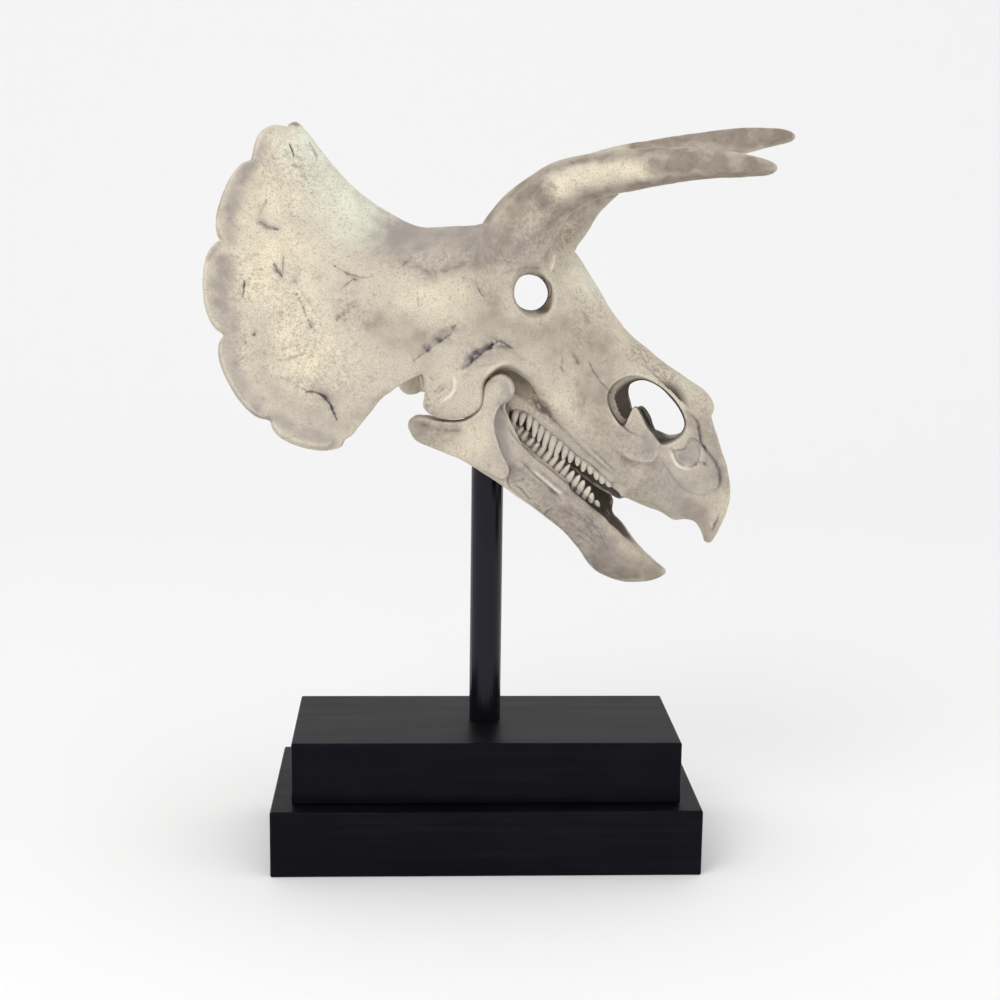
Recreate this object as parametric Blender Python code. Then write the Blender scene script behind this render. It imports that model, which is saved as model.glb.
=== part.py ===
"""A triceratops skull replica on a rod and a painted two-tier plinth.

Sizes are in millimetres, turned to metres as each mesh is made. The stand's frame has its origin at
the middle of the plinth's underside, +X along the plinth and +Z up. The skull has a frame of its
own, centred on the rod: u forward, v to the skull's left, w up, in the nose-down pose it is mounted
in. An empty then turns that frame on the rod and leans it a little.
"""

import math

import bmesh
import bpy
import numpy as np
from mathutils import Matrix, Vector

MM = 0.001
GAP = 0.3

# The stand.
PLINTH_LENGTH = 380.0
PLINTH_DEPTH = 181.0
LOWER_TIER_HEIGHT = 59.7
UPPER_TIER_HEIGHT = 56.2
TIER_STEP = 17.9
TIER_BEVEL = 1.6
ROD_DIAMETER = 28.6
ROD_SIDES = 24

# How the skull sits on the rod.
SKULL_HEIGHT = 450.0
SKULL_TURN = math.radians(-15.8)
SKULL_LEAN = math.radians(2.5)
ROD_TOP_IN_SKULL = -8.0

# The clay that the skull is fused from, and how fine each bone is left.
VOXEL = 2.6
WELD = 0.002
SKULL_TRIANGLES = 3420
JAW_TRIANGLES = 900
SKULL_SMOOTHING = 6
JAW_SMOOTHING = 4
SLICE_POINTS = 28
TOOL_POINTS = 14

# Braincase and face, as slices from the roof edge to the lower edge: the two ends (u, w), the half
# width, how far down the widest level lies, and the roundness of the roof and of the lower part.
FACE_SLICES = [
    ((-84, 106), (-66, 6), 30, 0.50, 2.0, 2.2),
    ((-62, 106), (-58, -10), 42, 0.66, 1.8, 2.4),
    ((-30, 110), (-30, -18), 60, 0.76, 1.7, 2.6),
    ((4, 114), (4, -10), 68, 0.80, 1.7, 2.8),
    ((40, 113), (34, -6), 66, 0.82, 1.7, 2.8),
    ((72, 95), (56, -24), 56, 0.78, 1.8, 2.4),
    ((92, 68), (62, -48), 47, 0.70, 1.9, 2.3),
    ((115, 34), (76, -70), 41, 0.62, 2.0, 2.3),
    ((146, 7), (98, -96), 34, 0.58, 2.0, 2.2),
    ((177, -14), (118, -118), 28, 0.56, 2.1, 2.2),
    ((193, -26), (140, -127), 25, 0.56, 2.1, 2.2),
    ((199, -50), (156, -132), 21, 0.55, 2.0, 2.2),
    ((207, -72), (168, -139), 17, 0.52, 2.0, 2.1),
    ((214, -92), (176, -138), 13, 0.50, 2.0, 2.0),
    ((217, -112), (186, -140), 9, 0.50, 2.0, 2.0),
    ((213, -133), (191, -148), 6, 0.50, 2.0, 2.0),
    ((205, -149), (195, -156), 3, 0.50, 2.0, 2.0),
]

# The palate and pterygoid block under the braincase, which carries the upper tooth rows.
PALATE_SLICES = [
    ((-66, 20), (-58, -34), 24, 0.5, 2.4, 2.4),
    ((-20, 20), (-20, -46), 26, 0.5, 2.6, 2.6),
    ((20, 10), (14, -52), 30, 0.6, 2.6, 2.8),
    ((50, 0), (30, -58), 40, 0.75, 2.6, 3.2),
    ((75, -20), (50, -70), 38, 0.75, 2.6, 3.2),
    ((100, -40), (72, -88), 34, 0.75, 2.6, 3.2),
    ((128, -60), (97, -107), 30, 0.75, 2.6, 3.2),
    ((150, -85), (121, -122), 24, 0.7, 2.4, 2.8),
]

# The block behind each cheek arch, as rounded slices: centre (u, v, w), half length, half thickness.
BLOCK_SQUARENESS = 2.6
QUADRATE_SLICES = [
    ((-8, 60, 18), (38, 13)),
    ((-10, 67, -4), (30, 11)),
    ((-14, 72, -22), (25, 9)),
    ((-16, 73, -35), (22, 8)),
    ((-16, 72, -42), (12, 5)),
]

# The brow horns: centre line (u, v, w) of the right one with v turned positive, and the radius.
HORN_LINE = [
    ((30, 38, 76), 28),
    ((35, 42, 100), 31),
    ((40, 46, 120), 29),
    ((52, 50.5, 138), 25.5),
    ((74, 56, 153), 21.5),
    ((108, 63, 162.5), 18),
    ((148, 72, 168), 15.2),
    ((182, 78, 171.5), 12.8),
    ((212, 83, 172), 10.3),
    ((234, 87, 171), 7.6),
    ((246, 89, 170), 4.6),
    ((250.5, 89.6, 170), 1.6),
]
LEFT_HORN_RISE = math.radians(4.2)
LEFT_HORN_STRETCH = 1.02
LEFT_HORN_REACH = 0.2
LEFT_HORN_KEEL = [((46, 38, 92), 22), ((60, 44, 114), 20), ((76, 50, 133), 16), ((98, 57, 150), 11)]

# The small boss above the nose, as a centre line and radius.
NOSE_BOSS = [((184, 0, -30), 9), ((192, 0, -38), 8)]

# The ball that the neck would turn on.
CONDYLE_LINE = [
    ((-50, 0, -18), 9),
    ((-62, 0, -22), 9),
    ((-69, 0, -25), 12),
    ((-77, 0, -27), 11),
    ((-83, 0, -28), 5),
]

# The frill: where its crest and sides leave the braincase, and the notches between its scallops.
FRILL_ROOT = [
    (-6, 0, 92),
    (-8, 24, 88),
    (-10, 42, 68),
    (-12, 50, 46),
    (-16, 54, 28),
    (-26, 54, 15),
    (-34, 52, 8),
]
FRILL_NOTCHES = [
    (-172, 0, 193),
    (-200, 45, 169),
    (-210, 92, 105),
    (-196, 127, 30),
    (-150, 148, -37),
    (-93, 134, -54),
    (-54, 68, 1),
]
SCALLOP_RISE = [17, 13.5, 18, 18, 17, 1]
LEFT_SCALLOP_RISE = [17, 13.5, 18, 18, 8, 1]
SCALLOP_BULGE = (2.3, 1.9)
SCALLOP_STEPS = 9
WING_FACING = (0.35, 0.62, 0.70)
FRILL_ROWS = 12
CREST_SAG = 33.0
CREST_SPREAD = 2.6
SIDE_SAG = 8.0
SAG_SKEW = 1.25
SAG_END = 4.8
BOW_SPREAD = 0.3
RIM_THICKNESS = 11.0
MIDDLE_THICKNESS = 9.0
ROOT_THICKNESS = 22.0
THICKNESS_STATIONS = (0, 0.35, 0.8, 1)
THIN_END = 1.5

# The lower jaw: upper and lower edge of each slice (u, w), its v and its half thickness.
JAW_SLICES = [
    ((-53, -47), (-53, -54), 72, 4),
    ((-44, -42), (-45, -65), 73, 8),
    ((-24, -48.5), (-25, -72), 73, 10),
    ((-6, -48), (-6, -80), 71, 10),
    ((10, -46), (10, -91), 66, 10),
    ((35, -59), (24, -102), 58, 9),
    ((52, -73), (40, -116), 50, 9),
    ((69, -88), (58, -131), 41, 9),
    ((86, -104), (75, -146), 34, 8.5),
    ((102, -119), (87, -162), 27, 8),
    ((112, -133), (98, -180), 20, 7.5),
]
CORONOID_LINE = [((4, 62, -62), 14), ((9, 60, -42), 12), ((15, 58, -27), 12.5), ((22, 57, -20), 12)]

# The lower beak: how far down the widest level lies and the roundness above and below; the upper
# and lower edge (u, w) and half width of each slice; then the trough that hollows it.
LOWER_BEAK_SHAPE = (0.35, 2.6, 1.9)
LOWER_BEAK_SLICES = [
    ((106, -136), (91, -181), 29),
    ((118, -143), (102, -191), 26),
    ((130, -158), (119, -197), 21),
    ((141, -169), (133, -198), 15),
    ((151, -177), (147, -196), 9),
    ((158, -182), (156, -193), 5),
    ((163, -185), (162, -189), 2),
]
BEAK_TROUGH = [
    ((80, 0, -110), 17),
    ((104, 0, -128), 17),
    ((122, 0, -143), 13),
    ((140, 0, -160), 7),
    ((150, 0, -169), 3),
]

# Openings.
NARES_CENTRE = (144, -38)
NARES_RADII = (34, 23)
NARES_TILT = math.radians(-38)
NARES_FLARE = [(-60, 1.5), (-30, 1.12), (-12, 0.9), (12, 0.9), (30, 1.12), (60, 1.5)]

# The tunnel through both eye sockets: centre (u, v, w) and radius. It runs back as it goes left.
ORBIT_TUNNEL = [
    ((57, -80, 66), 32),
    ((52, -54, 63.5), 23),
    ((49, -44, 62), 19),
    ((45, -34, 61), 15.5),
    ((37, 0, 57), 16),
    ((28, 40, 52), 17.5),
    ((25, 54, 51), 23),
    ((20, 80, 48), 33),
]

# The vault between the upper tooth rows: middle (u, w), half width and half height of each ring.
PALATE_VAULT = [
    ((22, -70), 22, 26),
    ((50, -92), 22, 28),
    ((85, -116), 17, 28),
    ((118, -138), 12, 24),
    ((138, -152), 7, 16),
]
PALATE_UP = (0.59, 0, 0.81)
PALATE_SQUARENESS = 2.4

# The notch under each cheek arch, along and across which way, and its radii.
ARCH_CENTRE = (30, -26)
ARCH_ALONG = (0.81, 0, -0.59)
ARCH_ACROSS = (0.59, 0, 0.81)
ARCH_RADII = (22, 24)
ARCH_FLARE = [(47, 0.9), (95, 1.15)]
ARCH_SQUARENESS = 2.2
ROD_SOCKET_REACH = 120.0

# Teeth, along the right rows with v turned positive: the ends of each row, gum line to tip.
TEETH_PER_ROW = 16
UPPER_GUM_BACK = (33, 41, -38)
UPPER_GUM_FRONT = (119, 26, -109)
LOWER_GUM_BACK = (30, 46, -60)
LOWER_GUM_FRONT = (104, 27, -122)
UPPER_TOOTH_BAR = [((28, 41, -30), 7), ((60, 36, -52), 8), ((118, 25, -99), 7)]
LOWER_TOOTH_BAR = [((24, 46, -68), 7), ((54, 41, -89), 8.5), ((104, 27, -131), 8)]
TOOTH_LENGTH = 11.0
TOOTH_RADIUS = 3.0
TOOTH_SIDES = 4
TOOTH_SHRINK = 0.35

# How far along a tooth each ring lies (below 0 is in the bone) and how thick it is there.
TOOTH_PROFILE = [(-0.8, 1.0), (0.55, 0.95), (1.0, 0.4)]

# Where the bones part: polylines (u, w) that the thin cutting sheets run along, and how far the
# sheets reach to each side.
WIDE = 200
NARROW = 60
FRILL_LINE_MIDDLE = [(-40, 150), (-44, 100), (-56, 66), (-130, 46)]
FRILL_LINE_SIDE = [(-40, 150), (-44, 100), (-50, 30), (-58, -60)]
BRAINCASE_HALF_WIDTH = 46
BRAINCASE_TRANSITION = 12
SNOUT_LINE = [(150, 60), (104, -8), (100, -40), (106, -66), (130, -98), (140, -150)]
UPPER_BEAK_LINE = [(240, -104), (206, -122), (160, -142)]
LOWER_BEAK_LINE = [(160, -110), (84, -150), (84, -210)]
CHEEK_LEVELS = [(-62, 4), (10, 4), (30, -20)]
CHEEK_INNER = 51
CHEEK_OUTER = 100
CHEEK_FOOT = -80
CUT_DISC_SIDES = 20

# Round cuts: centre, facing and radius.
HORN_CUT = ((41, 46, 121), (0.55, 0.2, 0.8), 44)
CONDYLE_CUT = ((-60, 0, -21), (-1, 0, -0.3), 18)

# The two wings part from the shield's middle along this line.
SQUAMOSAL_LINE = [(-20, 40, 62), (-50, 50, 65), (-105, 63, 71), (-167, 79, 88), (-240, 100, 112)]
SQUAMOSAL_REACH = (-22, 34)

# Where the middle of each bone lies, by which the parted pieces get their names.
SKULL_PLACES = {
    "frill": (-132, 0, 67),
    "cranium": (3, 0, 9),
    "snout": (158, 0, -57),
    "upper_beak": (193, 0, -136),
    "horn_right": (133, -56, 144),
    "horn_left": (133, 57, 147),
    "cheek_right": (-19, -76, -20),
    "cheek_left": (-19, 76, -20),
    "occipital_condyle": (-70, 0, -24),
}
FRILL_PLACES = {
    "frill_middle": (-120, 0, 120),
    "frill_right": (-130, -100, 20),
    "frill_left": (-130, 100, 20),
}
JAW_PLACES = {
    "lower_jaw_right": (29, -48, -84),
    "lower_jaw_left": (29, 48, -84),
    "lower_beak": (123, 0, -167),
}

BONE = (0.76, 0.70, 0.57)
BLACK_PAINT = (0.012, 0.011, 0.014)


def clear_scene():
    for thing in list(bpy.data.objects):
        bpy.data.objects.remove(thing, do_unlink=True)


def finish(name, colour, roughness, metallic=0.0):
    material = bpy.data.materials.new(name)
    material.use_nodes = True
    shader = material.node_tree.nodes["Principled BSDF"]
    shader.inputs["Base Color"].default_value = (*colour, 1.0)
    shader.inputs["Roughness"].default_value = roughness
    shader.inputs["Metallic"].default_value = metallic
    return material


def new_object(name, mesh):
    thing = bpy.data.objects.new(name, mesh)
    bpy.context.scene.collection.objects.link(thing)
    return thing


def mesh_of(name, points, faces):
    """A mesh of points in millimetres, its faces turned to point outwards."""
    mesh = bpy.data.meshes.new(name)
    mesh.from_pydata([tuple(MM * c for c in point) for point in points], [], faces)
    shape = bmesh.new()
    shape.from_mesh(mesh)
    bmesh.ops.recalc_face_normals(shape, faces=shape.faces)
    shape.to_mesh(mesh)
    shape.free()
    return mesh


def loft(name, rings):
    """A closed body through rings that all hold as many points."""
    count = len(rings[0])
    points = [tuple(point) for ring in rings for point in ring]
    faces = [tuple(range(count)), tuple(range(len(points) - count, len(points)))]
    for row in range(len(rings) - 1):
        for k in range(count):
            a = row * count + k
            b = row * count + (k + 1) % count
            faces.append((a, b, b + count, a + count))
    return new_object(name, mesh_of(name, points, faces))


def between(table, steps):
    """Rows of numbers read from a smooth curve through the table's rows."""
    rows = np.array(table, float)
    padded = np.vstack([2 * rows[0] - rows[1], rows, 2 * rows[-1] - rows[-2]])
    out = []
    for i in range(len(rows) - 1):
        before, here, after, beyond = padded[i : i + 4]
        for k in range(steps):
            t = k / steps
            out.append(
                here
                + 0.5 * t * (after - before)
                + t**2 * (before - 2.5 * here + 2 * after - 0.5 * beyond)
                + t**3 * (1.5 * (here - after) + 0.5 * (beyond - before))
            )
    out.append(rows[-1])
    return np.array(out)


def pear_ring(top, bottom, half_width, widest, roof, belly, middle=0.0):
    """One slice: half_width at the level widest, with its own roundness above and below."""
    ring = []
    for k in range(SLICE_POINTS):
        angle = math.tau * k / SLICE_POINTS
        level = 0.5 - 0.5 * math.cos(angle)
        if level < widest:
            spread = (1 - ((widest - level) / widest) ** roof) ** (1 / roof)
        else:
            spread = (1 - ((level - widest) / (1 - widest)) ** belly) ** (1 / belly)
        side = half_width * spread * (1 if math.sin(angle) >= 0 else -1)
        if abs(math.sin(angle)) < 1e-9:
            side = 0.0
        u = top[0] + (bottom[0] - top[0]) * level
        w = top[1] + (bottom[1] - top[1]) * level
        ring.append((u, middle + side, w))
    return ring


def round_ring(centre, across, up, half_across, half_up, power=2.0, count=SLICE_POINTS):
    ring = []
    for k in range(count):
        angle = math.tau * k / count
        c, s = math.cos(angle), math.sin(angle)
        a = half_across * math.copysign(abs(c) ** (2 / power), c)
        b = half_up * math.copysign(abs(s) ** (2 / power), s)
        ring.append(np.array(centre) + a * np.array(across) + b * np.array(up))
    return ring


def sliced_body(name, slices, steps=3):
    """A body on the middle plane through slices of the kind that FACE_SLICES lists."""
    table = [(*top, *bottom, *shape) for top, bottom, *shape in slices]
    rings = [pear_ring(r[0:2], r[2:4], r[4], r[5], r[6], r[7]) for r in between(table, steps)]
    return loft(name, rings)


def tube(name, line, side, steps=4):
    """A tapered round body along a line of ((u, v, w), radius); side -1 is the skull's right."""
    table = between([(u, side * v, w, radius) for (u, v, w), radius in line], steps)
    rings = []
    for i, row in enumerate(table):
        ahead = table[min(i + 1, len(table) - 1)][:3] - table[max(i - 1, 0)][:3]
        along = Vector(ahead).normalized()
        across = Vector((0, 1, 0)).cross(along).normalized()
        up = along.cross(across)
        rings.append(round_ring(row[:3], across, up, row[3], row[3]))
    return loft(name, rings)


def quadrate(name, side):
    rings = []
    for row in between([(u, side * v, w, a, b) for (u, v, w), (a, b) in QUADRATE_SLICES], 3):
        rings.append(round_ring(row[:3], (1, 0, 0), (0, 1, 0), row[3], row[4], BLOCK_SQUARENESS))
    return loft(name, rings)


def jaw_side(name, side):
    table = between([(*top, *bottom, side * v, half) for top, bottom, v, half in JAW_SLICES], 3)
    rings = []
    for row in table:
        centre = np.array([(row[0] + row[2]) / 2, row[4], (row[1] + row[3]) / 2])
        up = np.array([row[0] - row[2], 0, row[1] - row[3]])
        height = np.linalg.norm(up)
        rings.append(round_ring(centre, (0, 1, 0), up / height, row[5], height / 2, BLOCK_SQUARENESS))
    return loft(name, rings)


def lower_beak(name):
    table = between([(*top, *bottom, width) for top, bottom, width in LOWER_BEAK_SLICES], 3)
    return loft(name, [pear_ring(r[0:2], r[2:4], r[4], *LOWER_BEAK_SHAPE) for r in table])


def margin_point(at, side):
    """The frill's edge at a place along it: the whole part picks a scallop, the rest runs along it."""
    lobe = min(int(at), len(SCALLOP_RISE) - 1)
    t = at - lobe
    start, end = np.array(FRILL_NOTCHES[lobe], float), np.array(FRILL_NOTCHES[lobe + 1], float)
    chord = end - start
    outward = np.cross(WING_FACING, chord)
    outward /= np.linalg.norm(outward)
    rises = LEFT_SCALLOP_RISE if side > 0 else SCALLOP_RISE
    blunt, full = SCALLOP_BULGE
    rise = rises[lobe] * (1 - abs(2 * t - 1) ** blunt) ** (1 / full)
    point = start + t * chord + rise * outward
    return np.array([point[0], side * point[1], point[2]])


def frill_grid():
    """The middle surface of the shield, by column round the edge and by row from root to edge."""
    roots = between(FRILL_ROOT, SCALLOP_STEPS)
    last = len(roots) - 1
    lobes = len(SCALLOP_RISE)
    grid = []
    for column in range(-last, last + 1):
        side = math.copysign(1, column)
        at = abs(column) / SCALLOP_STEPS
        edge = margin_point(at, side)
        root = roots[abs(column)] * (1, side, 1)
        sag = SIDE_SAG + (CREST_SAG - SIDE_SAG) * math.exp(-((at / CREST_SPREAD) ** 2))
        sag *= min(1.0, (lobes - at) / (lobes - SAG_END))
        line = []
        for row in range(FRILL_ROWS + 1):
            t = row / FRILL_ROWS
            bow = 4 * t**SAG_SKEW * (1 - t**SAG_SKEW) * sag
            sink = np.array([BOW_SPREAD * bow, -BOW_SPREAD * side * bow * min(1, at), -bow])
            line.append(root + (edge - root) * t + sink)
        grid.append(line)
    return np.array(grid)


def frill(name):
    """The shield as a closed body: the middle surface moved out by half its thickness on each side."""
    grid = frill_grid()
    around = np.gradient(grid, axis=0)
    outwards = np.gradient(grid, axis=1)
    normal = np.cross(around, outwards)
    normal /= np.linalg.norm(normal, axis=2, keepdims=True)
    t = np.linspace(0, 1, FRILL_ROWS + 1)
    columns, rows = grid.shape[:2]
    profile = (ROOT_THICKNESS, MIDDLE_THICKNESS, MIDDLE_THICKNESS, RIM_THICKNESS)
    inner = np.interp(t, THICKNESS_STATIONS, profile) / 2
    from_end = np.minimum(np.arange(columns), np.arange(columns)[::-1]) / SCALLOP_STEPS
    thick = np.clip(from_end / THIN_END, 0, 1)[:, None]
    half = (inner[None] * thick + np.minimum(inner, MIDDLE_THICKNESS / 2)[None] * (1 - thick))[..., None]
    front = grid + normal * half
    back = grid - normal * half
    count = columns * rows
    points = np.concatenate([front.reshape(-1, 3), back.reshape(-1, 3)])
    faces = []
    for c in range(columns - 1):
        for r in range(rows - 1):
            a = c * rows + r
            faces.append((a, a + 1, a + rows + 1, a + rows))
            faces.append((a + count, a + rows + count, a + rows + 1 + count, a + 1 + count))
    border = [c * rows for c in range(columns)]
    border += [(columns - 1) * rows + r for r in range(1, rows)]
    border += [c * rows + rows - 1 for c in range(columns - 2, -1, -1)]
    border += [r for r in range(rows - 2, 0, -1)]
    for k, a in enumerate(border):
        b = border[(k + 1) % len(border)]
        faces.append((a, b, b + count, a + count))
    return new_object(name, mesh_of(name, points, faces))


def applied(thing):
    """The object with its modifiers made part of its mesh."""
    bpy.context.view_layer.update()
    graph = bpy.context.evaluated_depsgraph_get()
    mesh = bpy.data.meshes.new_from_object(thing.evaluated_get(graph))
    thing.modifiers.clear()
    thing.data = mesh
    return thing


def joined(name, things):
    """One object that holds every mesh; the shapes may overlap until they are fused."""
    shape = bmesh.new()
    for thing in things:
        applied(thing)
        shape.from_mesh(thing.data)
        bpy.data.objects.remove(thing, do_unlink=True)
    mesh = bpy.data.meshes.new(name)
    shape.to_mesh(mesh)
    shape.free()
    return new_object(name, mesh)


def fused(name, things, triangles, smoothing):
    """The shapes as one skin with filleted joins, thinned to about that many triangles."""
    body = joined(name, things)
    remesh = body.modifiers.new("fuse", "REMESH")
    remesh.mode = "VOXEL"
    remesh.voxel_size = VOXEL * MM
    smooth = body.modifiers.new("fillet", "SMOOTH")
    smooth.factor = 0.5
    smooth.iterations = smoothing
    applied(body)
    body.data.calc_loop_triangles()
    thin = body.modifiers.new("thin", "DECIMATE")
    thin.ratio = min(1.0, triangles / len(body.data.loop_triangles))
    thin.use_collapse_triangulate = True
    return applied(body)


def cleaned(thing):
    """Welds what a Boolean leaves doubled and turns its many-sided faces into triangles."""
    shape = bmesh.new()
    shape.from_mesh(thing.data)
    bmesh.ops.remove_doubles(shape, verts=shape.verts, dist=WELD * MM)
    bmesh.ops.dissolve_degenerate(shape, edges=shape.edges, dist=WELD * MM)
    bmesh.ops.triangulate(shape, faces=shape.faces)
    shape.to_mesh(thing.data)
    shape.free()
    return thing


def cut(thing, tools, operation="DIFFERENCE"):
    """Applies an exact Boolean with every tool in turn and removes the tools."""
    for tool in tools:
        boolean = thing.modifiers.new("cut", "BOOLEAN")
        boolean.operation = operation
        boolean.solver = "EXACT"
        boolean.object = tool
        cleaned(applied(thing))
        bpy.data.objects.remove(tool, do_unlink=True)
    return thing


def sheet_tool(rows):
    """A thin cutting sheet through rows of points (u, v, w), as thick as the gap it leaves."""
    points = [point for row in rows for point in row]
    count = len(rows[0])
    faces = []
    for r in range(len(rows) - 1):
        for k in range(count - 1):
            a = r * count + k
            faces.append((a, a + 1, a + count + 1, a + count))
    tool = new_object("sheet_tool", mesh_of("sheet_tool", points, faces))
    solid = tool.modifiers.new("thickness", "SOLIDIFY")
    solid.thickness = GAP * MM
    solid.offset = 0.0
    return applied(tool)


def across(line, v):
    """A polyline (u, w) set at one v."""
    return [(u, v, w) for u, w in line]


def disc_tool(centre, normal, radius):
    shape = bmesh.new()
    turn = Vector(normal).to_track_quat("Z", "Y").to_matrix().to_4x4()
    place = Matrix.Translation(Vector(centre) * MM) @ turn
    bmesh.ops.create_cone(
        shape,
        cap_ends=True,
        segments=CUT_DISC_SIDES,
        radius1=radius * MM,
        radius2=radius * MM,
        depth=GAP * MM,
        matrix=place,
    )
    mesh = bpy.data.meshes.new("disc_tool")
    shape.to_mesh(mesh)
    shape.free()
    return new_object("disc_tool", mesh)


def pieces_of(thing):
    """The loose bodies of an object, each as an object of its own, largest first."""
    shape = bmesh.new()
    shape.from_mesh(thing.data)
    bodies = []
    unseen = set(shape.verts)
    while unseen:
        start = unseen.pop()
        body, queue = {start}, [start]
        while queue:
            for edge in queue.pop().link_edges:
                for vert in edge.verts:
                    if vert in unseen:
                        unseen.discard(vert)
                        body.add(vert)
                        queue.append(vert)
        bodies.append(body)
    out = []
    for body in bodies:
        order = sorted(body, key=lambda vert: vert.index)
        index = {vert: i for i, vert in enumerate(order)}
        faces = [[index[vert] for vert in face.verts] for face in shape.faces if face.verts[0] in body]
        mesh = bpy.data.meshes.new("piece")
        mesh.from_pydata([tuple(vert.co) for vert in order], [], faces)
        out.append(new_object("piece", mesh))
    shape.free()
    bpy.data.objects.remove(thing, do_unlink=True)
    return sorted(out, key=volume, reverse=True)


def volume(thing):
    shape = bmesh.new()
    shape.from_mesh(thing.data)
    size = shape.calc_volume()
    shape.free()
    return size


def middle(thing):
    points = np.array([tuple(vert.co) for vert in thing.data.vertices]) / MM
    return (points.min(axis=0) + points.max(axis=0)) / 2


def tooth_rows(side, gum_back, gum_front, lengthwise):
    """One row of teeth as joined, tapered pegs; lengthwise is +1 for teeth that point up."""
    back, front = np.array(gum_back, float), np.array(gum_front, float)
    run = (front - back) / np.linalg.norm(front - back)
    down = np.array([run[2], 0, -run[0]]) * -lengthwise
    shape = bmesh.new()
    for k in range(TEETH_PER_ROW):
        t = (k + 0.5) / TEETH_PER_ROW
        size = 1 - TOOTH_SHRINK * t
        at = back + (front - back) * t
        rings = []
        for depth, girth in TOOTH_PROFILE:
            centre = at + down * depth * TOOTH_LENGTH * size
            ring = []
            for j in range(TOOTH_SIDES):
                turn = math.tau * (j + 0.5) / TOOTH_SIDES
                spread = run * math.cos(turn) + np.array([0, 1, 0]) * math.sin(turn)
                point = centre + girth * size * TOOTH_RADIUS * spread
                ring.append(shape.verts.new((point[0] * MM, side * point[1] * MM, point[2] * MM)))
            rings.append(ring)
        for lower, upper in zip(rings, rings[1:]):
            for j in range(TOOTH_SIDES):
                k = (j + 1) % TOOTH_SIDES
                shape.faces.new((lower[j], lower[k], upper[k], upper[j]))
        shape.faces.new(rings[0])
        shape.faces.new(rings[-1])
    bmesh.ops.recalc_face_normals(shape, faces=shape.faces)
    mesh = bpy.data.meshes.new("teeth")
    shape.to_mesh(mesh)
    shape.free()
    return new_object("teeth", mesh)


def nares_tool():
    """The nostril window: an oval that runs right through the snout and widens outwards."""
    along = (math.cos(NARES_TILT), 0, math.sin(NARES_TILT))
    up = (-math.sin(NARES_TILT), 0, math.cos(NARES_TILT))
    rings = []
    for v, grow in NARES_FLARE:
        centre = (NARES_CENTRE[0], v, NARES_CENTRE[1])
        long, short = (radius * grow for radius in NARES_RADII)
        rings.append(round_ring(centre, along, up, long, short, count=TOOL_POINTS))
    return loft("nares_tool", rings)


def orbit_tool():
    rings = []
    for centre, radius in ORBIT_TUNNEL:
        rings.append(round_ring(centre, (1, 0, 0), (0, 0, 1), radius, radius, count=TOOL_POINTS))
    return loft("orbit_tool", rings)


def palate_tool():
    """The vault between the upper tooth rows, open below."""
    rings = []
    for (u, w), half, high in PALATE_VAULT:
        rings.append(round_ring((u, 0, w), (0, 1, 0), PALATE_UP, half, high, PALATE_SQUARENESS, TOOL_POINTS))
    return loft("palate_tool", rings)


def arch_tool(side):
    """The notch under the cheek arch in which the jaw's coronoid process stands."""
    rings = []
    for v, grow in ARCH_FLARE:
        centre = (ARCH_CENTRE[0], side * v, ARCH_CENTRE[1])
        long, high = (radius * grow for radius in ARCH_RADII)
        rings.append(round_ring(centre, ARCH_ALONG, ARCH_ACROSS, long, high, ARCH_SQUARENESS, TOOL_POINTS))
    return loft("arch_tool", rings)


def round_bar(name, diameter, low, high, turn=None):
    """An upright round bar between two levels, in millimetres."""
    shape = bmesh.new()
    place = Matrix.Translation((0, 0, (low + high) / 2 * MM))
    bmesh.ops.create_cone(
        shape,
        cap_ends=True,
        segments=ROD_SIDES,
        radius1=diameter / 2 * MM,
        radius2=diameter / 2 * MM,
        depth=(high - low) * MM,
        matrix=turn @ place if turn else place,
    )
    mesh = bpy.data.meshes.new(name)
    shape.to_mesh(mesh)
    shape.free()
    return new_object(name, mesh)


def rod_socket_tool():
    """The blind hole for the rod, upright once the skull has its lean."""
    top = ROD_TOP_IN_SKULL + GAP
    upright = Matrix.Rotation(-SKULL_LEAN, 4, "X")
    return round_bar("rod_socket_tool", ROD_DIAMETER + 2 * GAP, top - ROD_SOCKET_REACH, top, upright)


def left_horn_turned(horn):
    """The left horn stands a little higher and longer than the right one."""
    base = Vector([MM * c for c in HORN_LINE[2][0]])
    turn = Matrix.Rotation(-LEFT_HORN_RISE, 4, "Y") @ Matrix.Scale(LEFT_HORN_STRETCH, 4)
    for vert in horn.data.vertices:
        out = vert.co - base
        amount = min(1.0, max(0.0, out.x / LEFT_HORN_REACH)) ** 0.5
        vert.co = vert.co.lerp(base + turn @ out, amount)
    return horn


def skull_body():
    """Everything above the mouth as one skin, before it is parted into bones."""
    shapes = [sliced_body("face", FACE_SLICES), sliced_body("palate", PALATE_SLICES), frill("frill")]
    shapes += [quadrate("quadrate", side) for side in (-1, 1)]
    shapes += [tube("tooth bar", UPPER_TOOTH_BAR, side) for side in (-1, 1)]
    shapes += [tube("horn", HORN_LINE, -1), left_horn_turned(tube("horn", HORN_LINE, 1))]
    shapes.append(tube("keel", LEFT_HORN_KEEL, 1))
    shapes += [tube("condyle", CONDYLE_LINE, 1), tube("boss", NOSE_BOSS, 1)]
    body = fused("skull", shapes, SKULL_TRIANGLES, SKULL_SMOOTHING)
    tools = [orbit_tool(), nares_tool(), palate_tool(), arch_tool(-1), arch_tool(1), rod_socket_tool()]
    return cut(body, tools)


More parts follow.
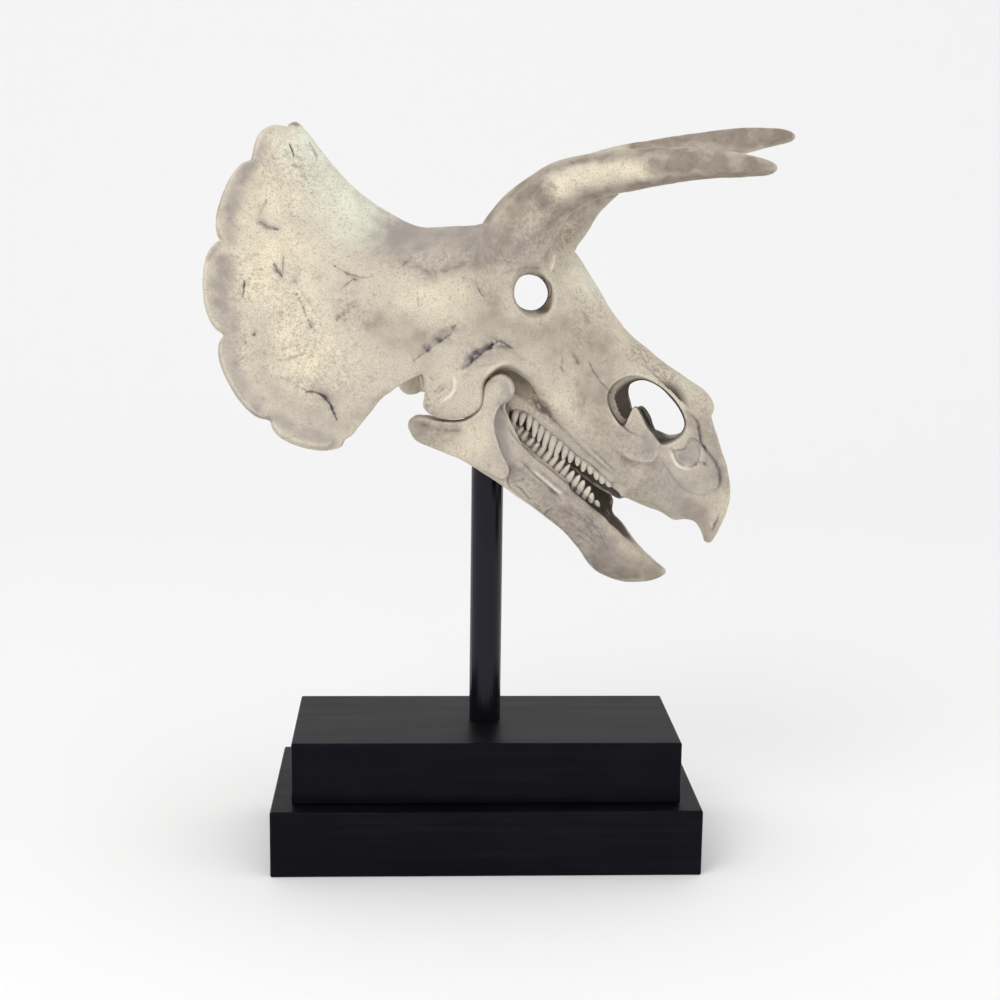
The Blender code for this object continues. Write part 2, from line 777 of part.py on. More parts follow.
def tier(name, length, depth, floor, height):
    shape = bmesh.new()
    size = Matrix.Diagonal((length * MM, depth * MM, height * MM, 1.0))
    place = Matrix.Translation((0, 0, (floor + height / 2) * MM))
    bmesh.ops.create_cube(shape, size=1.0, matrix=place @ size)
    mesh = bpy.data.meshes.new(name)
    shape.to_mesh(mesh)
    shape.free()
    block = new_object(name, mesh)
    bevel = block.modifiers.new("worn edges", "BEVEL")
    bevel.width = TIER_BEVEL * MM
    bevel.segments = 2
    return block


def lower_jaw():
    """Both halves of the jaw with the lower beak, as one skin."""
    shapes = [jaw_side("ramus", side) for side in (-1, 1)]
    shapes += [tube("coronoid", CORONOID_LINE, side) for side in (-1, 1)]
    shapes += [tube("tooth bar", LOWER_TOOTH_BAR, side) for side in (-1, 1)]
    shapes.append(lower_beak("beak"))
    jaw = fused("lower_jaw", shapes, JAW_TRIANGLES, JAW_SMOOTHING)
    return cut(jaw, [tube("trough", BEAK_TROUGH, 1)])


def skull_sheets():
    """The sheets and discs that part the skull into its bones."""
    inner = BRAINCASE_HALF_WIDTH
    outer = inner + BRAINCASE_TRANSITION
    rows = [across(FRILL_LINE_SIDE, v) for v in (-WIDE, -outer)]
    rows += [across(FRILL_LINE_MIDDLE, v) for v in (-inner, inner)]
    rows += [across(FRILL_LINE_SIDE, v) for v in (outer, WIDE)]
    yield sheet_tool(rows)
    for line in (SNOUT_LINE, UPPER_BEAK_LINE):
        yield sheet_tool([across(line, v) for v in (-NARROW, NARROW)])
    for side in (-1, 1):
        rows = []
        for u, w in CHEEK_LEVELS:
            row = [(CHEEK_OUTER, w), (CHEEK_INNER + 2, w), (CHEEK_INNER, CHEEK_FOOT)]
            rows.append([(u, side * v, level) for v, level in row])
        yield sheet_tool(rows)
        (u, v, w), (nu, nv, nw), radius = HORN_CUT
        yield disc_tool((u, side * v, w), (nu, side * nv, nw), radius)
    yield disc_tool(*CONDYLE_CUT)


def squamosal_sheets():
    """The sheets that part the shield's two wings from its middle."""
    for side in (-1, 1):
        facing = np.array(WING_FACING) * (1, side, 1)
        line = np.array(SQUAMOSAL_LINE, float) * (1, side, 1)
        yield sheet_tool([[tuple(point + reach * facing) for point in line] for reach in SQUAMOSAL_REACH])


def named_pieces(things, names):
    """Gives each piece the name whose place (u, v, w) lies nearest to its middle."""
    found = {}
    for thing in things:
        name = min(names, key=lambda key: np.linalg.norm(names[key] - middle(thing)))
        if name in found:
            raise ValueError(f"two pieces near {name}: {middle(thing)}")
        thing.name = name
        thing.data.name = name
        found[name] = thing
    return found


def skull_bones():
    whole = pieces_of(cut(skull_body(), skull_sheets()))
    bones = named_pieces(whole, SKULL_PLACES)
    wings = pieces_of(cut(bones.pop("frill"), squamosal_sheets()))
    bones.update(named_pieces(wings, FRILL_PLACES))
    upper = [tooth_rows(side, UPPER_GUM_BACK, UPPER_GUM_FRONT, -1) for side in (-1, 1)]
    cut(bones["cranium"], upper, "UNION")
    return list(bones.values())


def jaw_bones():
    sheet = sheet_tool([across(LOWER_BEAK_LINE, v) for v in (-NARROW, NARROW)])
    bones = named_pieces(pieces_of(cut(lower_jaw(), [sheet])), JAW_PLACES)
    for side, name in ((-1, "lower_jaw_right"), (1, "lower_jaw_left")):
        cut(bones[name], [tooth_rows(side, LOWER_GUM_BACK, LOWER_GUM_FRONT, 1)], "UNION")
    return list(bones.values())


def stand():
    """The plinth's two tiers and the rod, one on the other."""
    ledge = 2 * TIER_STEP
    upper_floor = LOWER_TIER_HEIGHT + GAP
    rod_floor = upper_floor + UPPER_TIER_HEIGHT + GAP
    return [
        tier("stand_tier_lower", PLINTH_LENGTH, PLINTH_DEPTH, 0, LOWER_TIER_HEIGHT),
        tier("stand_tier_upper", PLINTH_LENGTH - ledge, PLINTH_DEPTH - ledge, upper_floor, UPPER_TIER_HEIGHT),
        round_bar("stand_rod", ROD_DIAMETER, rod_floor, SKULL_HEIGHT + ROD_TOP_IN_SKULL),
    ]


def main():
    clear_scene()
    bone = finish("bone", BONE, 0.7)
    black = finish("black_paint", BLACK_PAINT, 0.45)
    pose = bpy.data.objects.new("skull_pose", None)
    bpy.context.scene.collection.objects.link(pose)
    pose.location = (0, 0, SKULL_HEIGHT * MM)
    pose.rotation_euler = (SKULL_LEAN, 0, SKULL_TURN)
    for piece in skull_bones() + jaw_bones():
        piece.parent = pose
        piece.data.materials.append(bone)
        piece.data.shade_smooth()
    for piece in stand():
        piece.data.materials.append(black)
        piece.data.shade_smooth()
        piece.data.set_sharp_from_angle(angle=math.radians(30))


main()
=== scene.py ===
"""The finish of a cast triceratops skull on its tube and black stepped plinth.

The skull is sculpted in its own frame, in millimetres: u forward, v to the skull's left, w up,
centred on the tube. Two level sets, one for the skull and one for the lower jaw, are blended
from named blocks, carved, turned into skins and then worked over vertex by vertex.

A line body is a row of centres (u, v, w), each with a radius. A corner (x, y) is where the
camera sees it on a picture of 1000 x 1000; a corner (x, y, v) also says how deep it lies.
"""

import collections
import functools
import math

import bpy
import numpy as np
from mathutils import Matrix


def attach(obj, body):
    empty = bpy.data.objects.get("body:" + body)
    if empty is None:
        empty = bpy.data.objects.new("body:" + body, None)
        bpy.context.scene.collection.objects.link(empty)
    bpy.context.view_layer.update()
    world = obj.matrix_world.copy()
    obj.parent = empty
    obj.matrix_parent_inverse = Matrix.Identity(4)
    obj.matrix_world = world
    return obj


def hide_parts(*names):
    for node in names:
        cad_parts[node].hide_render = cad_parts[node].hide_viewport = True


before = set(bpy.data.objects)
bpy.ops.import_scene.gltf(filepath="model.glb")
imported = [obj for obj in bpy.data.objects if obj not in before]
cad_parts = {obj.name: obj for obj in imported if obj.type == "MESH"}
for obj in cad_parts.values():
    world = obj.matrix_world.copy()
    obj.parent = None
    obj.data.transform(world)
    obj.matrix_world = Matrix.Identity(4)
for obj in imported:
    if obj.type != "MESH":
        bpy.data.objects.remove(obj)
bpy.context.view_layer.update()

import openvdb
from mathutils import Matrix, Vector

MM = 0.001
# The level sets' spacing, and how far from a surface they know their distance, in mm.
STEP = 1.1
BAND = 10.0
# The blocks of space that the skull and the jaw are sculpted in.
SKULL_BLOCK = ((-234, -170, -170), (270, 170, 214))
JAW_BLOCK = ((-66, -96, -206), (172, 96, -2))

SKULL_HEIGHT = 450.0
SKULL_TURN = math.radians(-15.8)
SKULL_LEAN = math.radians(2.5)
SKULL_TO_WORLD = (
    Matrix.Translation((0, 0, SKULL_HEIGHT * MM))
    @ Matrix.Rotation(SKULL_TURN, 4, "Z")
    @ Matrix.Rotation(SKULL_LEAN, 4, "X")
    @ Matrix.Scale(MM, 4)
)
ROD_DIAMETER = 28.6
ROD_TOP_IN_SKULL = -8.0
ROD_CLEARANCE = 0.3

CAMERA_PLACE = (-0.0632, -1.5515, 0.6095)
CAMERA_RIGHT = (0.99887, -0.04575, 0.01287)
CAMERA_UP = (-0.00427, 0.18333, 0.98304)
CAMERA_AHEAD = (0.04734, 0.98199, -0.18292)
CAMERA_LENS = 63.32
SENSOR = 36.0
PICTURE = 1000

# Braincase and face: two ends (u, w), half width, level of the widest part, roundness above, below.
FACE_SLICES = [
    ((-84, 109), (-66, 6), 30, 0.5, 2.0, 2.2),
    ((-62, 110), (-58, -10), 42, 0.66, 1.8, 2.4),
    ((-30, 113), (-30, -18), 60, 0.76, 1.7, 2.6),
    ((4, 115), (4, -10), 68, 0.8, 1.7, 2.8),
    ((40, 113), (34, -6), 66, 0.82, 1.7, 2.8),
    ((72, 95), (56, -24), 56, 0.78, 1.8, 2.4),
    ((92, 68), (62, -48), 47, 0.7, 1.9, 2.3),
    ((115, 34), (76, -70), 41, 0.62, 2.0, 2.3),
    ((146, 7), (98, -96), 34, 0.58, 2.0, 2.2),
    ((177, -14), (118, -118), 28, 0.56, 2.1, 2.2),
    ((193, -26), (140, -127), 25, 0.56, 2.1, 2.2),
    ((199, -50), (156, -132), 21, 0.55, 2.0, 2.2),
    ((207, -72), (168, -139), 17, 0.52, 2.0, 2.1),
    ((214, -92), (176, -138), 13, 0.5, 2.0, 2.0),
    ((217, -112), (186, -140), 9, 0.5, 2.0, 2.0),
    ((213, -133), (191, -148), 6, 0.5, 2.0, 2.0),
    ((205, -149), (195, -156), 3, 0.5, 2.0, 2.0),
]
PALATE_SLICES = [
    ((-66, 20), (-58, -34), 24, 0.5, 2.4, 2.4),
    ((-20, 20), (-20, -46), 26, 0.5, 2.6, 2.6),
    ((20, 10), (14, -52), 30, 0.6, 2.6, 2.8),
    ((50, 0), (30, -58), 40, 0.75, 2.6, 3.2),
    ((75, -20), (50, -70), 38, 0.75, 2.6, 3.2),
    ((100, -40), (72, -88), 34, 0.75, 2.6, 3.2),
    ((128, -60), (97, -107), 30, 0.75, 2.6, 3.2),
    ((150, -85), (121, -122), 24, 0.7, 2.4, 2.8),
]
# The jaw joint's block: centre, and half sizes along and across.
QUADRATE_SLICES = [
    ((-8, 60, 18), (38, 13)),
    ((-10, 67, -4), (30, 11)),
    ((-14, 72, -22), (25, 9)),
    ((-16, 73, -35), (22, 8)),
    ((-16, 72, -42), (12, 5)),
]
HORN_LINE = [
    ((26, 26, 50), 22),
    ((28, 37, 78), 27),
    ((32, 42, 101), 30.5),
    ((42, 46, 120), 28),
    ((57, 50.5, 136.5), 23.8),
    ((77, 56, 151.5), 20.5),
    ((108, 63, 162), 17.6),
    ((148, 72, 168), 15.2),
    ((182, 78, 171.5), 12.8),
    ((212, 83, 172), 10.3),
    ((234, 87, 171), 7.6),
    ((247, 89, 170), 5.2),
    ((253.5, 89.8, 170), 2.2),
]
HORN_BEND = (40, 46, 120)
LEFT_HORN_RISE = math.radians(5.0)
LEFT_HORN_STRETCH = 1.03
LEFT_HORN_KEEL = [((42, 38, 94), 22), ((60, 44, 114), 20), ((76, 50, 133), 16), ((98, 57, 150), 11)]
CONDYLE_LINE = [
    ((-50, 0, -18), 9), ((-62, 0, -22), 9), ((-69, 0, -25), 12), ((-77, 0, -27), 11), ((-83, 0, -28), 5),
]

# The shield from its middle outwards: where it grows from, and the notches between its scallops.
FRILL_ROOT = [
    (-6, 0, 92), (-8, 24, 88), (-10, 42, 68), (-12, 50, 46), (-16, 54, 28), (-26, 54, 15), (-34, 52, 8),
]
FRILL_NOTCHES = [
    (-172, 0, 193),
    (-200, 45, 169),
    (-210, 92, 105),
    (-196, 127, 30),
    (-150, 148, -37),
    (-93, 134, -54),
    (-54, 68, 1),
]
# How far each scallop stands out between its notches.
SCALLOP_RISE = [18.5, 13.5, 18, 18, 17, 1]
LEFT_SCALLOP_RISE = [16, 13.5, 18, 18, 8, 1]
TOP_LOBE_WAY = (-0.62, 0, 0.78)
LEFT_TOP_LOBE_WAY = (-0.3, 0, 0.95)
LAST_EDGE_HOLLOW = 7.0
SCALLOP_STEPS = 24
FRILL_ROWS = 48
# How far the shield's face sags between root and edge, on its crest and at its sides.
CREST_SAG = 34.0
CREST_SPREAD = 2.6
SIDE_SAG = 8.0
SAG_SKEW = 1.42
SAG_END = 4.8
# How thick the shield is, in mm, from its root (0) to its edge (1), and how far along its edge (in
# scallops) it is thinner at the root.
FRILL_THICKNESS = [(0, 22), (0.35, 9), (0.8, 8), (0.93, 9.5), (1, 9)]
THIN_HALF = 4.5
THIN_END = 1.5

# The ramus of the lower jaw: two ends (u, w), v and half thickness.
JAW_SLICES = [
    ((-53, -47), (-53, -54), 72, 4),
    ((-44, -42), (-45, -65), 73, 8),
    ((-24, -48.5), (-25, -72), 73, 10),
    ((-6, -48), (-6, -80), 71, 10),
    ((10, -50), (10, -91), 66, 10),
    ((33, -66), (24, -102), 58, 9),
    ((50, -81), (40, -116), 50, 9),
    ((67, -96), (58, -131), 41, 9),
    ((84, -112), (75, -146), 34, 8.5),
    ((100, -126), (87, -162), 27, 8),
    ((111, -137), (98, -180), 20, 7.5),
]
LEFT_JAW_RISE = (0, 0, 0, 0, 2, 7, 8, 9, 10, 11, 8)
CORONOID_LINE = [((4, 62, -62), 14), ((9, 60, -42), 12), ((15, 58, -27), 12.5), ((22, 57, -20), 12)]
NOSE_BOSS = [((184, 0, -30), 9), ((192, 0, -38), 8)]
LOWER_BEAK_SLICES = [
    (top, bottom, half, 0.35, 2.6, 1.9)
    for top, bottom, half in [
        ((106, -136), (91, -181), 29),
        ((118, -143), (102, -191), 26),
        ((130, -158), (119, -197), 21),
        ((141, -169), (133, -198), 15),
        ((151, -177), (147, -196), 9),
        ((158, -182), (156, -193), 5),
        ((163, -185), (162, -189), 2),
    ]
]
BEAK_TROUGH = [
    ((80, 0, -110), 17), ((104, 0, -128), 17), ((122, 0, -143), 13), ((140, 0, -160), 7),
    ((150, 0, -169), 3),
]

# The tunnel through both eye sockets: centre (u, v, w) and radius. It runs back as it goes left.
ORBIT_TUNNEL = [
    ((66, -84, 67), 31),
    ((58.5, -60, 64.5), 23.5),
    ((52, -46, 62), 18.5),
    ((45, -34, 61), 15.5),
    ((37, 0, 57), 16),
    ((28, 40, 52), 17.5),
    ((25, 54, 51), 23),
    ((20, 80, 48), 33),
]

UPPER_TOOTH_BAR = [((28, 41, -30), 7), ((60, 36, -52), 8), ((118, 25, -99), 7)]
LOWER_TOOTH_BAR = [((22, 46, -72), 6), ((52, 41, -95), 6), ((82, 33, -120), 6), ((99, 29, -134), 5)]
# The edge of the maxilla, under which the tooth rows are set back.
CHEEK_RIM = [
    ((26, 50, 8), 10),
    ((40, 49, 4), 10),
    ((55, 46, -8), 10),
    ((65, 42, -26), 10),
    ((78, 38, -43), 9),
    ((94, 34, -62), 8),
    ((111, 30, -79), 7),
    ((124, 27, -92), 6),
    ((138, 23, -104), 5),
]
BEAK_HOOK = [((201, 0, -138), 8), ((200.5, 0, -146), 6.6), ((199, 0, -153), 5), ((197, 0, -158), 3)]
BOSS_CREST = [((190, 0, -30), 5), ((195, 0, -37), 5.2), ((195, 0, -43), 3.5)]
# The vault between the tooth rows: u, w, half width and half height.
PALATE_VAULT = [
    (22, -70, 22, 26), (50, -92, 22, 28), (85, -116, 17, 28), (118, -138, 12, 24), (138, -152, 7, 16),
]

TEETH_PER_ROW = 16
TOOTH_SIDES = 16
# One row of teeth from the back forward: its gum line, its tips, v at both ends, and its seed.
ToothRow = collections.namedtuple("ToothRow", "gum tips depth seed")
UPPER_TEETH = ToothRow(
    gum=[
        (512, 413), (522, 414), (530, 418), (541, 428), (552, 437), (563, 445), (575, 456), (590, 466),
        (600, 475), (612, 485),
    ],
    tips=[
        (509, 425), (517, 427), (524, 431), (534, 439), (546, 450), (554, 456), (566, 462), (574, 465),
        (585, 473), (594, 480), (602, 482), (611, 489),
    ],
    depth=(-44, -29),
    seed=5,
)
LOWER_TEETH = ToothRow(
    gum=[
        (508, 427), (516, 437), (525, 445), (535, 456), (545, 464), (555, 472), (565, 481), (578, 490),
        (589, 499), (600, 507),
    ],
    tips=[
        (513, 421), (520, 425), (528, 431), (538, 438), (548, 444), (557, 450), (565, 457), (570, 465),
        (575, 472), (580, 478), (586, 484), (591, 490), (595, 497), (601, 502),
    ],
    depth=(-43, -28),
    seed=6,
)
# How far along a tooth each ring lies, and how wide it is.
TOOTH_RINGS = [
    (-0.35, 0.8), (0.0, 1.0), (0.2, 1.0), (0.42, 0.92), (0.62, 0.78), (0.8, 0.58), (0.93, 0.36),
    (1.0, 0.13),
]


def eased(before, here, after, beyond, t):
    """The point at t, from 0 to 1, of the smooth curve that runs from here to after."""
    return (
        here
        + 0.5 * t * (after - before)
        + t**2 * (before - 2.5 * here + 2 * after - 0.5 * beyond)
        + t**3 * (1.5 * (here - after) + 0.5 * (beyond - before))
    )


def between(table, steps):
    """Rows of numbers read from a smooth curve through the table's rows."""
    rows = np.array(table, float)
    padded = np.vstack([2 * rows[0] - rows[1], rows, 2 * rows[-1] - rows[-2]])
    places = np.arange(steps) / steps
    out = [eased(*padded[i : i + 4], t) for i in range(len(rows) - 1) for t in places]
    return np.array([*out, rows[-1]])


def curve_through(corners, steps=6):
    """A smooth closed line through corners."""
    rows = np.array(corners, float)
    places = np.arange(steps) / steps
    out = []
    for i in range(len(rows)):
        four = [rows[(i + k) % len(rows)] for k in (-1, 0, 1, 2)]
        out += [eased(*four, t) for t in places]
    return out


def loft(rings):
    """Points and triangles of a closed body through rings of equal length."""
    rings = np.array(rings, float)
    rows, count = rings.shape[:2]
    points = list(rings.reshape(-1, 3)) + [rings[0].mean(axis=0), rings[-1].mean(axis=0)]
    faces = []
    for row in range(rows - 1):
        for k in range(count):
            a, b = row * count + k, row * count + (k + 1) % count
            faces += [(a, b, b + count), (a, b + count, a + count)]
    first, last = rows * count, rows * count + 1
    for k in range(count):
        a, b = k, (k + 1) % count
        faces.append((first, b, a))
        faces.append((last, a + (rows - 1) * count, b + (rows - 1) * count))
    return np.array(points), np.array(faces)


def round_ring(centre, across, up, half_across, half_up, power=2.0, count=48):
    """A ring about a centre: an ellipse at power 2, squarer above it."""
    angle = math.tau * np.arange(count) / count
    c, s = np.cos(angle), np.sin(angle)
    a = half_across * np.sign(c) * np.abs(c) ** (2 / power)
    b = half_up * np.sign(s) * np.abs(s) ** (2 / power)
    return np.array(centre) + a[:, None] * np.array(across) + b[:, None] * np.array(up)


def both_sides(body):
    """A body and its mirror image on the skull's other side."""
    points, faces = body
    return body, (points * (1, -1, 1), faces[:, ::-1])


def pear_block(slices, count=72, steps=8):
    """A block through pear-shaped slices; each slice's roundness is a power, above and below."""
    rings = []
    table = [(*top, *bottom, *rest) for top, bottom, *rest in slices]
    for tu, tw, bu, bw, half, widest, roof, belly in between(table, steps):
        angle = math.tau * np.arange(count) / count
        level = 0.5 - 0.5 * np.cos(angle)
        above = (1 - np.clip((widest - level) / widest, 0, 1) ** roof) ** (1 / roof)
        below = (1 - np.clip((level - widest) / (1 - widest), 0, 1) ** belly) ** (1 / belly)
        side = half * np.where(level < widest, above, below) * np.sign(np.sin(angle).round(9))
        rings.append(np.stack([tu + (bu - tu) * level, side, tw + (bw - tw) * level], axis=1))
    return loft(rings)


def tube_rings(line, side, steps=8):
    table = between([(u, side * v, w, radius) for (u, v, w), radius in line], steps)
    rings = []
    for i, row in enumerate(table):
        ahead = table[min(i + 1, len(table) - 1)][:3] - table[max(i - 1, 0)][:3]
        along = Vector(ahead).normalized()
        across = Vector((0, 1, 0)).cross(along).normalized()
        rings.append(round_ring(row[:3], across, along.cross(across), row[3], row[3]))
    return np.array(rings)


def tube(line, side):
    return loft(tube_rings(line, side))


def left_horn():
    """The left horn stands a little higher and longer than the right one."""
    rings = tube_rings(HORN_LINE, 1)
    base = np.array(HORN_BEND, float)
    turn = np.array(Matrix.Rotation(-LEFT_HORN_RISE, 3, "Y")) * LEFT_HORN_STRETCH
    out = rings - base
    amount = np.clip(out[..., :1] / 200.0, 0, 1)
    return loft(rings + amount * (base + out @ turn.T - rings))


def quadrate(side):
    rings = []
    for row in between([(u, side * v, w, a, b) for (u, v, w), (a, b) in QUADRATE_SLICES], 6):
        rings.append(round_ring(row[:3], (1, 0, 0), (0, 1, 0), row[3], row[4], 2.6))
    return loft(rings)


def jaw_side(side):
    """The left side's upper edge stands a little higher in front."""
    table = []
    for ((tu, tw), bottom, v, half), rise in zip(JAW_SLICES, LEFT_JAW_RISE):
        table.append((tu, tw + (rise if side > 0 else 0), *bottom, side * v, half))
    rings = []
    for row in between(table, 8):
        centre = np.array([(row[0] + row[2]) / 2, row[4], (row[1] + row[3]) / 2])
        up = np.array([row[0] - row[2], 0, row[1] - row[3]])
        height = np.linalg.norm(up)
        rings.append(round_ring(centre, (0, 1, 0), up / height, row[5], height / 2, 2.6, 64))
    return loft(rings)


def margin_point(at, side):
    """The shield's edge at a place along it: the whole part picks a scallop, the rest runs along it."""
    lobe = min(int(at), len(SCALLOP_RISE) - 1)
    t = at - lobe
    start, end = np.array(FRILL_NOTCHES[lobe], float), np.array(FRILL_NOTCHES[lobe + 1], float)
    chord = end - start
    outward = np.cross((0.35, 0.62, 0.7), chord)
    outward /= np.linalg.norm(outward)
    rises = LEFT_SCALLOP_RISE if side > 0 else SCALLOP_RISE
    rise = rises[lobe] * (1 - abs(2 * t - 1) ** 2.3) ** (1 / 1.9)
    if lobe == 0:
        outward = np.array(LEFT_TOP_LOBE_WAY if side > 0 else TOP_LOBE_WAY)
        rise = rises[0] * math.sin(math.pi * t ** (0.7 if side > 0 else 0.9))
    if lobe == len(SCALLOP_RISE) - 1:
        rise = -LAST_EDGE_HOLLOW * math.sin(math.pi * t)
    point = start + t * chord + rise * outward
    return point * (1, side, 1)


def frill():
    """The shield as a closed body: a middle surface moved out by half its thickness on each side."""
    roots = between(FRILL_ROOT, SCALLOP_STEPS)
    last = len(roots) - 1
    lobes = len(SCALLOP_RISE)
    grid = []
    t = np.linspace(0, 1, FRILL_ROWS + 1)[:, None]
    for column in range(-last, last + 1):
        side = math.copysign(1, column)
        at = abs(column) / SCALLOP_STEPS
        edge = margin_point(at, side)
        root = roots[abs(column)] * (1, side, 1)
        sag = SIDE_SAG + (CREST_SAG - SIDE_SAG) * math.exp(-((at / CREST_SPREAD) ** 2))
        sag *= min(1.0, (lobes - at) / (lobes - SAG_END))
        bow = 4 * t**SAG_SKEW * (1 - t**SAG_SKEW) * sag
        grid.append(root + (edge - root) * t + bow * np.array([0.3, -0.3 * side * min(1, at), -1.0]))
    grid = np.array(grid)
    normal = np.cross(np.gradient(grid, axis=0), np.gradient(grid, axis=1))
    normal /= np.linalg.norm(normal, axis=2, keepdims=True)
    inner = np.interp(t[:, 0], *zip(*FRILL_THICKNESS)) / 2
    columns = np.arange(len(grid))
    thick = np.clip(np.minimum(columns, columns[::-1]) / SCALLOP_STEPS / THIN_END, 0, 1)[:, None]
    half = (inner[None] * thick + np.minimum(inner, THIN_HALF)[None] * (1 - thick))[..., None]
    front, back = grid + normal * half, grid - normal * half
    return loft(np.concatenate([front, back[:, ::-1]], axis=1))


def soft_min(a, b, round_mm):
    h = np.clip(0.5 + 0.5 * (b - a) / round_mm, 0, 1)
    return b + (a - b) * h - round_mm * h * (1 - h)


class Clay:
    """A block of space in the skull's frame, holding the distance to the surface at each point."""

    def __init__(self, low, high):
        self.low = np.array(low, float)
        self.size = np.ceil((np.array(high, float) - self.low) / STEP).astype(int)
        self.field = np.full(self.size, BAND, np.float32)

    def window(self, body):
        """The part of the block around a body, and the body's distances there."""
        points, faces = body
        low = np.floor((points.min(axis=0) - BAND - self.low) / STEP).astype(int)
        high = np.ceil((points.max(axis=0) + BAND - self.low) / STEP).astype(int)
        first = np.clip(low, 0, self.size - 2)
        last = np.clip(high, first + 1, self.size)
        grid = openvdb.FloatGrid.createLevelSetFromPolygons(
            (points - self.low).astype(np.float32),
            triangles=faces.astype(np.uint32),
            transform=openvdb.createLinearTransform(voxelSize=STEP),
            halfWidth=BAND / STEP,
        )
        values = np.empty(last - first, np.float32)
        grid.copyToArray(values, ijk=tuple(int(i) for i in first))
        return tuple(slice(a, b) for a, b in zip(first, last)), values

    def add(self, body, round_mm):
        here, values = self.window(body)
        self.field[here] = soft_min(self.field[here], values, round_mm)

    def carve(self, body, round_mm):
        here, values = self.window(body)
        self.field[here] = -soft_min(-self.field[here], values, round_mm)

    def smooth(self, spread):
        """Softens everything; the spread is in square millimetres."""
        for _ in range(max(1, round(2 * spread / STEP**2))):
            for axis in range(3):
                f = np.moveaxis(self.field, axis, 0)
                f[1:-1] = 0.25 * (f[:-2] + f[2:]) + 0.5 * f[1:-1]

    def skin(self):
        """Points and quads of the surface, in the skull's frame."""
        grid = openvdb.FloatGrid(BAND)
        grid.transform = openvdb.createLinearTransform(voxelSize=STEP)
        grid.copyFromArray(self.field)
        points, quads = grid.convertToQuads(isovalue=0.0)
        return points.astype(float) + self.low, quads.astype(int)


def seen(x, y, v):
    """The point at that v, in the skull's frame, which the camera sees at (x, y)."""
    to_skull = np.linalg.inv(np.array(SKULL_TO_WORLD))
    ray = np.array(CAMERA_AHEAD) * CAMERA_LENS / SENSOR
    ray = ray + (x - PICTURE / 2) / PICTURE * np.array(CAMERA_RIGHT)
    ray = ray + (PICTURE / 2 - y) / PICTURE * np.array(CAMERA_UP)
    start = to_skull[:3, :3] @ np.array(CAMERA_PLACE) + to_skull[:3, 3]
    ray = to_skull[:3, :3] @ ray
    return start + ray * (v - start[1]) / ray[1]


def to_world(points):
    m = np.array(SKULL_TO_WORLD)
    return points @ m[:3, :3].T + m[:3, 3]


def shown_at(points):
    """Where the camera sees points of the skull's frame."""
    away = to_world(points) - np.array(CAMERA_PLACE)
    depth = away @ np.array(CAMERA_AHEAD)
    zoom = PICTURE * CAMERA_LENS / SENSOR
    x = PICTURE / 2 + zoom * (away @ np.array(CAMERA_RIGHT)) / depth
    y = PICTURE / 2 - zoom * (away @ np.array(CAMERA_UP)) / depth
    return np.stack([x, y], axis=1)


def facing_camera(points, normals):
    """How squarely each point faces the camera: 1 head on, below 0 turned away."""
    ray = to_world(points) - np.array(CAMERA_PLACE)
    ray /= np.linalg.norm(ray, axis=1, keepdims=True)
    turn = np.array(SKULL_TO_WORLD)[:3, :3] / MM
    return -np.einsum("ij,ij->i", normals @ turn.T, ray)


def plate(corners, inner):
    """A plate whose face the camera sees through its corners; its back is flat at one v."""
    face = np.array([seen(*corner) for corner in curve_through(corners)])
    back = face.copy()
    back[:, 1] = inner
    return loft([face, back])


def sight_cut(outline, depth):
    """A body that the camera sees as just this outline, between two depths v."""
    return loft([[seen(x, y, v) for x, y in curve_through(outline, 3)] for v in depth])


def pit(rows, beyond):
    """A hollow that narrows inwards: rows of its rim (x, y, v) and its floor (x, y, v)."""
    rim = curve_through([row[:3] for row in rows], 5)
    floor = curve_through([row[3:] for row in rows], 5)
    outside = [(x, y, beyond) for x, y, v in rim]
    return loft([[seen(*corner) for corner in ring] for ring in (outside, rim, floor)])


def nares_window():
    """The nostril: one outline on each side and a narrower one, that the camera sees through, between."""
    near_rim = curve_through(NARES_RIM, 4)
    inner_rim = curve_through(NARES_THROUGH, 4)
    outer, inner = (np.array([seen(x, y, v) for x, y in near_rim]) for v in (-60, -21))
    near, far = (np.array([seen(x, y, v) for x, y in inner_rim]) for v in (-12, 12))
    return loft([outer, inner, near, far, inner * (1, -1, 1), outer * (1, -1, 1)])


def orbit_tunnel():
    rings = [round_ring(centre, (1, 0, 0), (0, 0, 1), radius, radius) for centre, radius in ORBIT_TUNNEL]
    return loft(rings)


def palate_vault():
    rings = []
    for u, w, half, high in PALATE_VAULT:
        rings.append(round_ring((u, 0, w), (0, 1, 0), (0.59, 0, 0.81), half, high, 2.4))
    return loft(rings)


def rod_socket():
    turn = np.array(Matrix.Rotation(-SKULL_LEAN, 3, "X"))
    radius = ROD_DIAMETER / 2 + ROD_CLEARANCE
    ends = (-140, ROD_TOP_IN_SKULL + ROD_CLEARANCE)
    points, faces = loft([round_ring((0, 0, w), (1, 0, 0), (0, 1, 0), radius, radius) for w in ends])
    return points @ turn.T, faces


